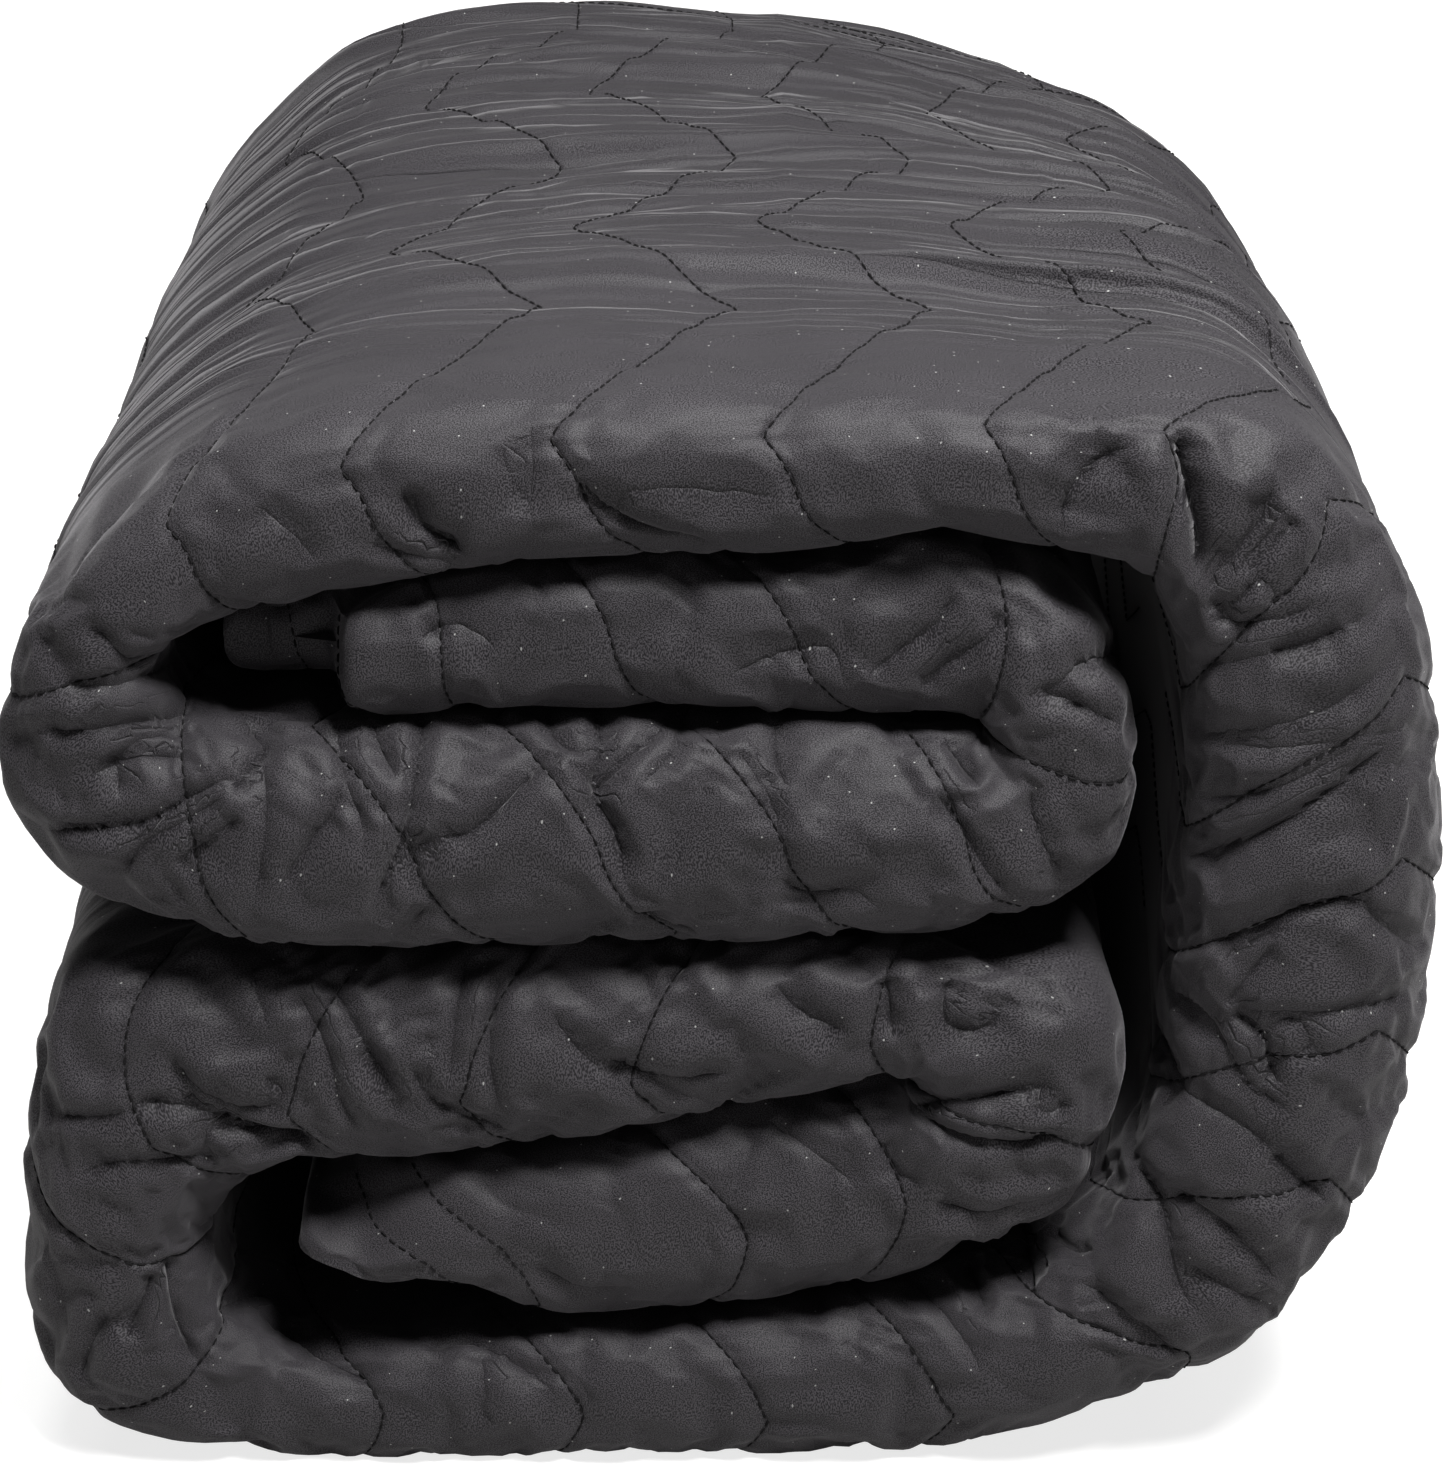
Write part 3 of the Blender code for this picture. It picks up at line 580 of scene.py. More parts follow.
def crease_trails(camera, points, along, w):
    """Each crease of the table followed over the plain cloth: its points there, the way that the
    cloth faces, its places along and across the cloth, and its own sizes."""
    columns, rows = along.shape
    quads = grid_quads(np.arange(columns * rows).reshape(columns, rows)[::3, ::2])
    tree = BVHTree.FromPolygons(points.reshape(-1, 3).tolist(), quads.tolist())
    origin = camera.matrix_world.translation
    trails = []
    for number, (name, width, depth, lean, *marks) in enumerate(CREASES):
        marks = np.array(marks, float)
        knots = lengths(marks)
        count = max(10, round(knots[-1] / CREASE_PIXELS))
        spots, normals, owners = [], [], []
        for x, y in curve_through(knots, marks, np.linspace(0, knots[-1], count + 1)):
            hit, normal, face, _ = tree.ray_cast(origin, photo_ray(camera, x, y))
            if hit is not None:
                spots.append(hit)
                normals.append(normal if normal.dot(origin - hit) > 0 else -normal)
                owners.append(quads[face, 0])
        if len(spots) < 4:
            print("crease not on the cloth:", name)
            continue
        share = np.linspace(0, 1, len(spots))
        taper = ease(share / CREASE_FADES_IN) * ease((1 - share) / CREASE_FADES_OUT)
        apart = np.full_like(share, 0.5)
        uneven = 1 + CREASE_UNEVEN * smooth_noise(share * 4 + number * 7.3, apart, 31)
        spread = width * 0.001 * (0.55 + 0.45 * taper)
        strength = CREASE_MORE * depth * 0.001 * taper * uneven
        trails.append((np.array(spots), np.array(normals), along.reshape(-1)[owners],
                       w.reshape(-1)[owners], spread, strength, lean))
    return trails


def crease_height(points, along, w, trails):
    """How far the creases press the cloth in and lift it beside them, then the way to the
    nearest crease, above 0 on its left, and how deep that crease is."""
    height, beside_crease, depth_there = np.zeros((3, len(points)))
    beside_crease += 1.0
    for spots, normals, place, row, spread, strength, lean in trails:
        reach = CREASE_REACH * spread.max()
        near = np.all((points > spots.min(0) - reach) & (points < spots.max(0) + reach), axis=1)
        near = np.flatnonzero(near)
        close = np.linalg.norm(points[near, None] - spots[None], axis=2).argmin(1)
        same = np.abs(along[near] - place[close]) < CREASE_OWN
        same &= np.abs(w[near] - row[close]) < CREASE_OWN
        near, close = near[same], close[same]
        forward = np.gradient(spots, axis=0)
        forward /= np.linalg.norm(forward, axis=1, keepdims=True)
        gap = points[near] - spots[close]
        lateral = -np.einsum("ij,ij->i", np.cross(forward, normals)[close], gap)
        past = np.einsum("ij,ij->i", forward[close], gap)
        before, after = close == 0, close == len(spots) - 1
        past = np.where(before, np.minimum(past, 0), 0) + np.where(after, np.maximum(past, 0), 0)
        side, distance = np.sign(lateral), np.hypot(lateral, past)
        wide, strong = spread[close], strength[close]
        high = 0.5 * (1 - side * lean)
        # a ridge on the high side, sunk cloth on the low one, and the bottom between them
        height[near] += strong * (
            CREASE_RIDGE * high * np.exp(-(((distance - RIDGE_AT * wide) / (RIDGE_WIDE * wide)) ** 2))
            - CREASE_SLOPE * (1 - high) * np.exp(-distance / (SLOPE_WIDE * wide))
            - CREASE_BOTTOM * np.exp(-((distance / (BOTTOM_WIDE * wide)) ** BOTTOM_ROUND)))
        closer = distance < np.abs(beside_crease[near])
        beside_crease[near[closer]] = (side * distance)[closer]
        depth_there[near[closer]] = strong[closer]
    marked = ease((CREASE_MARKED - np.abs(beside_crease)) / CREASE_MARK_FADES)
    return height, beside_crease, depth_there * marked


# The cloth between its stitch lines, let go with a little slack so that it buckles and settles

SETTLE_STEP = 0.0042
SETTLE_ROWS = np.concatenate([np.arange(-0.0760, 0.1201, 0.0040), np.arange(0.1265, 0.4401, 0.0066)])
SETTLE_FRAMES = 20
SLACK = 0.050  # how much larger the cloth is than the shape that it lies on
SETTLE_CAP = 0.009  # the furthest that a point moves
COVERED_CAP = 0.0012  # and the furthest out where other cloth lies against it
SEWN_BESIDE, SEWN_DEEP = 0.0023, 0.001  # bottoms of creases, held as the stitch lines are
FILLED_FROM, FILLED_RUNOUT = 0.040, 0.05  # past the front, less of the movement shows
FILLED_BEHIND = 0.12
SETTLED = (
    # along, how much of the slack shows in the front there
    (0.00, 0.6), (0.20, 0.7), (0.28, 0.8), (0.50, 0.8), (0.56, 0.8), (0.61, 0.5), (0.66, 0.4),
    (0.80, 0.4), (0.88, 0.7), (1.15, 0.8), (1.25, 0.7), (1.38, 0.6), (1.46, 0.9), (1.60, 0.9),
    (1.72, 0.9), (1.80, 0.9), (1.86, 0.7), (2.02, 0.6),
)


def settled_moves(trails):
    """How far each point of a coarse grid over the front and the outer sheet moves when a cloth
    with that slack, sewn along its stitch lines and creases, is filled: its places, then moves."""
    places, sewn = [], []
    for start, end in between_stitches():
        steps = max(4, round((end - start) / SETTLE_STEP))
        places += [start + (end - start) * i / steps for i in range(steps)]
        sewn += [i == 0 for i in range(steps)]
    places, sewn = np.array([*places, CLOTH_LENGTH]), np.array([*sewn, True])
    cloth = Cloth(places[:, None], np.where(SETTLE_ROWS >= 0, 1, -1)[None], SETTLE_ROWS[None])
    points, facing = cloth.face()
    w = np.broadcast_to(SETTLE_ROWS, cloth.along.shape)
    height, beside, depth = crease_height(
        points.reshape(-1, 3), cloth.along.reshape(-1), w.reshape(-1), trails)
    start = points + facing * height.reshape(w.shape)[..., None]
    held = ((np.abs(beside) < SEWN_BESIDE) & (depth > SEWN_DEEP)).reshape(w.shape)
    held[sewn] = True
    held[:, [0, -1]] = True
    numbers = np.arange(w.size).reshape(w.shape)
    slack = new_object("slack_cloth", start.reshape(-1, 3).tolist(), grid_quads(numbers).tolist())
    slack.vertex_groups.new(name="sewn").add(numbers[held].tolist(), 1.0, "REPLACE")
    only(slack)
    cloth_sim = slack.modifiers.new("fill", "CLOTH")
    cloth_sim.point_cache.frame_start, cloth_sim.point_cache.frame_end = 1, SETTLE_FRAMES
    cloth_sim.collision_settings.use_collision = False
    fabric = cloth_sim.settings
    fabric.quality = 5
    fabric.mass = 0.15
    fabric.tension_stiffness = fabric.compression_stiffness = 15
    fabric.shear_stiffness = 5
    fabric.bending_stiffness = 0.05
    fabric.vertex_group_mass = "sewn"
    fabric.shrink_min = -SLACK
    fabric.use_pressure = True
    fabric.uniform_pressure_force = 1.5
    fabric.effector_weights.gravity = 0
    for number in range(1, SETTLE_FRAMES + 1):
        bpy.context.scene.frame_set(number)
    bpy.ops.object.modifier_apply(modifier="fill")
    bpy.context.scene.frame_set(1)
    moves = vertex_places(slack.data).reshape(start.shape) - start
    bpy.data.objects.remove(slack, do_unlink=True)
    far = np.linalg.norm(moves, axis=-1, keepdims=True)
    return places, moves * np.minimum(1, SETTLE_CAP / np.maximum(far, 1e-9))


def read_moves(coarse_places, moves, places, rows):
    """The coarse grid's moves, read smoothly at the fine grid's columns and rows."""
    along = curve_through(coarse_places, moves.reshape(len(coarse_places), -1), places)
    along = along.reshape(len(places), len(SETTLE_ROWS), 3).transpose(1, 0, 2)
    rows = np.clip(rows, SETTLE_ROWS[0], SETTLE_ROWS[-1])
    across = curve_through(SETTLE_ROWS, along.reshape(len(SETTLE_ROWS), -1), rows)
    return across.reshape(len(rows), len(places), 3).transpose(1, 0, 2)


def settle(points, facing, cloth, places, rows, trails, bare):
    """The fine grid's points, moved as the coarse cloth settles, but not into other layers."""
    coarse_places, moves = settled_moves(trails)
    moves = read_moves(coarse_places, moves, places, rows)
    along, shares = np.array(SETTLED).T
    share = np.interp(cloth.along, along, shares)
    past_front = ease((cloth.side * cloth.reach - FILLED_FROM) / FILLED_RUNOUT)
    share = share + (FILLED_BEHIND - share) * past_front
    moves = moves * share[..., None]
    out = np.einsum("ijk,ijk->ij", moves, facing)
    near_other = ease((cloth.reach - 0.6 * cloth.bead_arc) / (0.5 * cloth.bead_arc))
    near_other = near_other * (1 - np.where(cloth.side > 0, bare, 0))
    most = COVERED_CAP + (SETTLE_CAP - COVERED_CAP) * (1 - near_other)
    return points + moves + facing * (np.minimum(out, most) - out)[..., None]


# The smaller relief: stitch lines, gathers, swellings and ripples

# Hills are a length along the cloth, a width across it, and the number that they are drawn from.
# More is how much more there is in front.

PROBES = (0.006, 0.012, 0.020)  # heights over a face at which other cloth is looked for
LAYER_HALF = 0.48  # of its thickness
COVER_BLEND = 12  # steps of the path
FRONT_WIDE, FRONT_RUNOUT = 0.075, 0.03
PULL_UNEVEN, PULL_HILLS = 0.35, (0.020, 0.028, 41)
BROAD_DEEP, BROAD_MORE, BROAD_WIDE = 0.0002, 0.0005, 0.010
NARROW_DEEP, NARROW_MORE, NARROW_WIDE = 0.0004, 0.0003, 0.0016
GATHER_HIGH, GATHER_WIDE, GATHER_HILLS = 0.0009, 0.014, (0.030, 0.0065, 42)
SWELL_HIGH, SWELL_MORE, SWELL_HILLS = 0.0010, 0.0006, (0.070, 0.055, 48)
SMALL_SWELL_HIGH, SMALL_SWELL_HILLS = 0.0009, (0.032, 0.027, 49)
SWELLING_KEPT = 0.4  # beside the swellings that the settled cloth has of its own
HEM_LINE_DEEP, HEM_LINE_WIDE = 0.0012, 0.0017
HEM_PLAIN, HEM_RELIEF, RELIEF_RUNOUT = 0.010, 0.15, 0.05
HIDDEN_DEEP, HIDDEN_HIGH = 0.004, 0.0009  # the most relief where layers lie on one another
BY_SEAM_WIDE = 0.009
SHARP_ANGLE = math.radians(70)
RIPPLES_FROM, RIPPLES_RUNOUT = 0.060, 0.06
RIPPLES_OFF_TOP = 0.4  # a share of their height on the top
TOP_FROM, TOP_FROM_RUNOUT, TOP_TO, TOP_TO_RUNOUT = 0.57, 0.04, 0.87, 0.05
FADE_HILLS = (0.11, 0.09, 45)
BEND, BEND_HILLS = 0.010, (0.20, 0.14, 44)
WAVES = (
    # height, hills
    (0.0042, (0.16, 0.0105, 46)), (0.0065, (0.24, 0.023, 47)), (0.0040, (0.30, 0.042, 50)),
)


def covered_path():
    """1 where other cloth lies against the outer face of the path, else 0, at each of its steps."""
    middle = (PATH[:, :2] + PATH[:, 2:4]) / 2
    across = PATH[:, :2] - PATH[:, 2:4]
    thick = np.linalg.norm(across, axis=1, keepdims=True)
    covered = np.zeros(len(PATH))
    for step in PROBES:
        probe = PATH[:, :2] + across / thick * step
        gaps = np.linalg.norm(probe[:, None] - middle[None], axis=2) - thick[:, 0] * LAYER_HALF
        covered = np.maximum(covered, gaps.min(axis=1) < 0)
    return averaged(covered, COVER_BLEND)


def hills(along, w, sizes):
    """Smooth uneven values from -1 to 1 over the cloth."""
    long, wide, seed = sizes
    return smooth_noise(along / long, w / wide, seed)


def relief(cloth, past_seam, bare, swelling):
    """Stitch lines, gathers and soft swellings as heights over the cloth's faces, how open the
    cloth lies to the air, and where its long fine ripples run, from 0 to 1."""
    along, w = cloth.along, cloth.side * cloth.reach
    front = 1 - ease((cloth.reach - FRONT_WIDE) / FRONT_RUNOUT)
    open_face = np.where(cloth.side > 0, bare, 0.0) * (1 - front)
    air = np.minimum(front + open_face, 1)
    near = np.abs(past_seam)[:, None]
    pull = 1 + PULL_UNEVEN * hills(along, w, PULL_HILLS)
    broad, narrow = BROAD_DEEP + BROAD_MORE * front, NARROW_DEEP + NARROW_MORE * front
    seams = -narrow * np.exp(-near / NARROW_WIDE) - broad * np.exp(-((near / BROAD_WIDE) ** 2))
    gathers = GATHER_HIGH * hills(along, w, GATHER_HILLS) * np.exp(-((near / GATHER_WIDE) ** 2))
    swells = (SWELL_HIGH + SWELL_MORE * front) * hills(along, w, SWELL_HILLS)
    swells = swells + SMALL_SWELL_HIGH * hills(along, w, SMALL_SWELL_HILLS)
    height = seams * pull * (0.5 + 0.5 * air) + gathers * air
    height = height + swelling * swells * (0.25 + 0.75 * air)
    for line in HEM_LINES:
        height = height - HEM_LINE_DEEP * np.exp(-(((cloth.left - line) / HEM_LINE_WIDE) ** 2))
    ripples = 0.70 + 0.30 * ease(0.6 + 0.9 * hills(along, w, FADE_HILLS))
    ripples = ripples * ease((w - RIPPLES_FROM) / RIPPLES_RUNOUT)
    ripples = ripples * np.maximum(open_face, np.where(w > 0, bare, 0))
    on_top = (1 - RIPPLES_OFF_TOP) * ease((along - TOP_FROM) / TOP_FROM_RUNOUT)
    on_top = on_top * (1 - ease((along - TOP_TO) / TOP_TO_RUNOUT))
    ripples = ripples * (RIPPLES_OFF_TOP + on_top)
    bent = w + BEND * hills(along, w, BEND_HILLS)
    waves = sum(high * hills(along, bent, sizes) for high, sizes in WAVES)
    height = height + waves * ripples
    return height, air, ripples


def ring_of_cloth(places):
    """The cloth's points as rows round it at every column, and its faces' outward ways."""
    side, w, to_hem, hemward = np.array(face_rows(), float).T[:, None]
    cloth = Cloth(places[:, None], side, side * w, to_hem, hemward)
    points, facing = cloth.face()
    return cloth, points, facing


def slit_walls(places, side):
    depths = np.linspace(0, 1, SLIT_STEPS + 1)[None]
    cloth = Cloth(places[:, None], side, side * FACE_TO, 0.0, inside=True)
    return cloth.slit(depths)


def strip_between(first, second, first_place, second_place):
    """Triangles between two rows of vertices that run beside each other."""
    faces, i, j = [], 0, 0
    while i < len(first) - 1 or j < len(second) - 1:
        step_first = j == len(second) - 1 or (
            i < len(first) - 1 and first_place[i + 1] <= second_place[j + 1])
        if step_first:
            faces.append((first[i], second[j], first[i + 1]))
            i += 1
        else:
            faces.append((first[i], second[j], second[j + 1]))
            j += 1
    return faces


def progress(points):
    length = lengths(points)
    return length / length[-1]


def new_object(name, points, faces):
    mesh = bpy.data.meshes.new(name)
    mesh.from_pydata(points, [], faces)
    piece = bpy.data.objects.new(name, mesh)
    bpy.context.collection.objects.link(piece)
    return piece


def only(piece):
    bpy.ops.object.select_all(action="DESELECT")
    piece.select_set(True)
    bpy.context.view_layer.objects.active = piece


def make_cloth(camera):
    """The whole blanket as one closed skin with its relief, and what its stitches follow."""
    places, past_seam = column_places()
    cloth, points, facing = ring_of_cloth(places)
    columns, rows = points.shape[:2]
    w = cloth.side * cloth.reach
    trails = crease_trails(camera, points, cloth.along, w)
    bare = 1 - np.interp(cloth.along, PATH_LENGTH, covered_path())
    height, air, ripples = relief(cloth, past_seam, bare, SWELLING_KEPT)
    pressed, beside_crease, crease_depth = (
        values.reshape(height.shape) for values in
        crease_height(points.reshape(-1, 3), cloth.along.reshape(-1), w.reshape(-1), trails))
    height = height + pressed
    height = np.where(air < 0.5, np.clip(height, -HIDDEN_DEEP, HIDDEN_HIGH), height)
    full = HEM_RELIEF + (1 - HEM_RELIEF) * ease(cloth.left / RELIEF_RUNOUT)
    height = height * ease(cloth.left / HEM_PLAIN) * full
    row_places = np.median(w, axis=0)
    points = settle(points, facing, cloth, places, row_places, trails, bare)
    points = points + facing * height[..., None]
    points[..., 2] = np.maximum(points[..., 2], 0)
    outer, inner = slit_walls(places, 1), slit_walls(places, -1)
    ring = np.concatenate([outer[:, ::-1], points, inner], axis=1)
    ring[..., 2] = np.maximum(ring[..., 2], 0)
    numbers = np.arange(ring.shape[0] * ring.shape[1]).reshape(ring.shape[:2])
    faces = grid_quads(np.column_stack([numbers, numbers[:, 0]])).tolist()
    first_face, past_face = outer.shape[1], outer.shape[1] + rows
    edge = list(range(first_face, past_face))
    walls = [*range(first_face - 1, -1, -1), *range(ring.shape[1] - 1, past_face - 1, -1)]
    for column in (0, columns - 1):
        skin, wall = numbers[column, edge], numbers[column, walls]
        faces += strip_between(skin.tolist(), wall.tolist(),
                               progress(ring[column, edge]), progress(ring[column, walls]))
    piece = new_object("blanket_cloth", ring.reshape(-1, 3).tolist(), faces)
    marks = {
        "past_seam": np.broadcast_to(past_seam[:, None], height.shape),
        "by_seam": np.exp(-np.abs(past_seam) / BY_SEAM_WIDE)[:, None] * air,
        "ripples": ripples,
        "beside_crease": beside_crease,
        "crease_depth": crease_depth,
    }
    lay_out(piece, cloth, marks, ring.shape, first_face, rows)
    only(piece)
    bpy.ops.object.mode_set(mode="EDIT")
    bpy.ops.mesh.select_all(action="SELECT")
    bpy.ops.mesh.normals_make_consistent(inside=False)
    bpy.ops.object.mode_set(mode="OBJECT")
    thin = piece.modifiers.new("thin", "DECIMATE")
    thin.ratio = CLOTH_TRIANGLES / triangles(piece.data)
    thin.use_collapse_triangulate = True
    bpy.ops.object.modifier_apply(modifier=thin.name)
    bpy.ops.object.shade_smooth_by_angle(angle=SHARP_ANGLE)
    return piece, places, points, cloth


def triangles(mesh):
    return sum(len(face.vertices) - 2 for face in mesh.polygons)


def vertex_places(mesh):
    flat = np.empty(len(mesh.vertices) * 3)
    mesh.vertices.foreach_get("co", flat)
    return flat.reshape(-1, 3)


def lay_out(piece, cloth, marks, shape, first_face, rows):
    """The cloth laid flat in metres, as its own coordinates for the weave, and the marks that its
    finish reads."""
    flat = np.zeros((*shape[:2], 2))
    flat[:, first_face:first_face + rows, 0] = cloth.along
    flat[:, first_face:first_face + rows, 1] = cloth.side * cloth.reach
    flat[:, :first_face] = flat[:, first_face, None]
    flat[:, first_face + rows:] = flat[:, first_face + rows - 1, None]
    for name, values in marks.items():
        spread = np.full(shape[:2], 1.0 if name in ("past_seam", "beside_crease") else 0.0)
        spread[:, first_face:first_face + rows] = values
        mark = piece.data.attributes.new(name, "FLOAT", "POINT")
        mark.data.foreach_set("value", spread.reshape(-1))
    layer = piece.data.uv_layers.new(name="cloth")
    loops = np.empty(len(piece.data.loops), dtype=np.int32)
    piece.data.loops.foreach_get("vertex_index", loops)
    layer.data.foreach_set("uv", flat.reshape(-1, 2)[loops].reshape(-1))


# The thread of its stitch lines

STITCH_LONG, STITCH_EVERY = 0.0029, 0.0037
STITCH_AIR = 0.012  # a stitch with less air than this over it isn't made, since it can't be seen
STITCH_OFF_FLOOR = 0.002
STITCH_OFF_EDGE = 0.003
STITCH_STANDS = 0.6  # its middle over the cloth, in threads
LOOK_FROM = 0.003  # over the cloth, clear of its own relief
STITCH_SHOULDERS = (0.22, 0.78)  # where a stitch comes out of the cloth and goes back into it
THREAD = 0.00033


def stitch_shape(start, end, out):
    """One stitch: a short thread that dips into the cloth at both ends."""
    way = end - start
    beside = np.cross(way, out)
    beside /= np.linalg.norm(beside)
    points = [start - out * THREAD * 0.5]
    for share in STITCH_SHOULDERS:
        middle = start + way * share
        for a, b in ((1, 0), (0, 1), (-1, 0), (0, -1)):
            points.append(middle + (beside * a + out * b) * THREAD + out * THREAD * 0.25)
    points.append(end - out * THREAD * 0.5)
    faces = [(0, 1 + (k + 1) % 4, 1 + k) for k in range(4)]
    faces += [(1 + k, 1 + (k + 1) % 4, 5 + (k + 1) % 4, 5 + k) for k in range(4)]
    faces += [(5 + k, 5 + (k + 1) % 4, 9) for k in range(4)]
    return points, faces


def stitch_line(trail, outward, tree, points, faces):
    """Stitches along a trail of points, wherever enough air stands over them."""
    length = lengths(trail)
    starts = np.arange(STITCH_EVERY, length[-1] - STITCH_LONG, STITCH_EVERY)
    begin, finish, out = (
        np.column_stack([np.interp(at, length, column) for column in values.T])
        for at, values in ((starts, trail), (starts + STITCH_LONG, trail), (starts, outward)))
    out /= np.linalg.norm(out, axis=1, keepdims=True)
    for one, two, way in zip(begin, finish, out):
        if min(one[2], two[2]) < STITCH_OFF_FLOOR:
            continue
        above = tree.ray_cast(Vector(one + way * LOOK_FROM), Vector(way), STITCH_AIR)
        if above[0] is not None:
            continue
        seats = [tree.find_nearest(Vector(end)) for end in (one, two)]
        one, two = (np.array(seat[0]) + way * THREAD * STITCH_STANDS for seat in seats)
        new, made = stitch_shape(one, two, np.array(way))
        faces += [tuple(len(points) + k for k in face) for face in made]
        points += [tuple(point) for point in new]


def make_stitches(piece, places, grid, cloth):
    """Every stitch line that shows, in one piece: the zigzags and the two rows along each hem."""
    corners = vertex_places(piece.data).tolist()
    tree = BVHTree.FromPolygons(corners, [face.vertices[:] for face in piece.data.polygons])
    ways = np.gradient(grid, axis=0), np.gradient(grid, axis=1)
    outward = np.cross(ways[0], ways[1])
    outward /= np.maximum(np.linalg.norm(outward, axis=2, keepdims=True), 1e-9)
    outward *= facing_sign(grid, outward)
    points, faces = [], []
    inside = cloth.left > STITCH_OFF_EDGE

    def sew(columns, rows):
        keep = inside[columns, rows]
        trail, ways_out = grid[columns, rows][keep], outward[columns, rows][keep]
        stitch_line(trail, ways_out, tree, points, faces)

    def sew_across(place):
        sew(int(np.argmin(np.abs(places - place))), slice(None))

    for place in stitch_places():
        sew_across(place)
    for line in HEM_LINES:
        sew_across(line)
        sew_across(CLOTH_LENGTH - line)
        for row in np.flatnonzero(np.abs(np.median(cloth.left, axis=0) - line) < HEM_LINE_NEAR):
            sew(slice(None), row)
    return new_object("blanket_stitches", points, faces)


def facing_sign(grid, outward):
    """1 or -1, to turn the grid's normals out of the bundle's front."""
    return -1.0 if outward[:, grid.shape[1] // 2, 1].mean() > 0 else 1.0


# Finishes, with heights and widths in metres and hills to the metre, along and across the cloth

# the last is painted shade: how much the stitch lines' grooves are darkened in colour
LINE_WIDE, LINE_DEEP, LINE_PAINTED_SHADE = 0.0005, 0.0004, 0.40
PUCKER_HILLS, PUCKER_HIGH = (34, 190), 0.0012
WANDER_HILLS, WANDER = (7, 9), 0.020
RIPPLE_HILLS, RIPPLE_HIGH = (6, 150), 0.0080
PLEAT_HILLS, PLEAT_SHARP, PLEAT_DEEP = (5, 80), 0.040, 0.0015
CREASE_SHARP, CREASE_DEEPER = 0.0009, 0.20
# painted shade: how wide and how strongly the crease bottoms are darkened in colour, then the most that
# this and the stitch lines' painted shade may darken
CREASE_SHADE_WIDE, CREASE_PAINTED_SHADE = 0.0014, 110.0
MOST_PAINTED_SHADE = 0.75
WEAVE_HILLS, WEAVE_HIGH, WEAVE_TONE = (2500, 2900), 0.00006, 3.6
PATCH_HILLS, PATCH_TONE = (24, 30), 0.35
CLOTH_DARK = (0.0080, 0.0070, 0.0086, 1)
CLOTH_PALE = (0.0520, 0.0485, 0.0535, 1)
LINT_HILLS, LINT_SHARE, LINT_SIZE = 170.0, 0.09, 0.042
LINT_COLOUR, LINT_SHOWS = (0.34, 0.34, 0.33, 1), 0.8
THREAD_COLOUR = (0.007, 0.0065, 0.007, 1)


class Nodes:
    """A short way to add nodes to a material and join them."""

    def __init__(self, material):
        material.use_nodes = True
        self.tree = material.node_tree

    def add(self, kind, settings=(), **values):
        node = self.tree.nodes.new(kind)
        for name, value in dict(settings).items():
            setattr(node, name, value)
        for name, value in values.items():
            socket = node.inputs[int(name[2:])] if name[:2] == "in" else node.inputs[name]
            self.put(socket, value)
        return node

    def put(self, socket, value):
        if isinstance(value, bpy.types.NodeSocket):
            self.tree.links.new(value, socket)
        else:
            socket.default_value = value

    def math(self, operation, *values):
        node = self.add("ShaderNodeMath", {"operation": operation})
        for socket, value in zip(node.inputs, values):
            self.put(socket, value)
        return node.outputs[0]

    def mark(self, name):
        return self.add("ShaderNodeAttribute", {"attribute_name": name}).outputs["Fac"]

    def noise(self, place, scale, detail=0.0):
        """Uneven values from -0.5 to 0.5, with scale hills to the unit each way."""
        placed = self.add("ShaderNodeMapping", Vector=place, Scale=(*scale, 1)).outputs[0]
        texture = self.add("ShaderNodeTexNoise", {"noise_dimensions": "2D"},
                           Vector=placed, Scale=1.0, Detail=detail)
        return self.math("SUBTRACT", texture.outputs["Fac"], 0.5)

    def sum(self, *values):
        return functools.reduce(lambda total, value: self.math("ADD", total, value), values)

    def times(self, *values):
        return functools.reduce(lambda total, value: self.math("MULTIPLY", total, value), values)

    def near_zero(self, value, width):
        """1 where the value is 0, falling off to both sides of it within about that width."""
        return self.math("EXPONENT", self.times(self.math("ABSOLUTE", value), -1 / width))


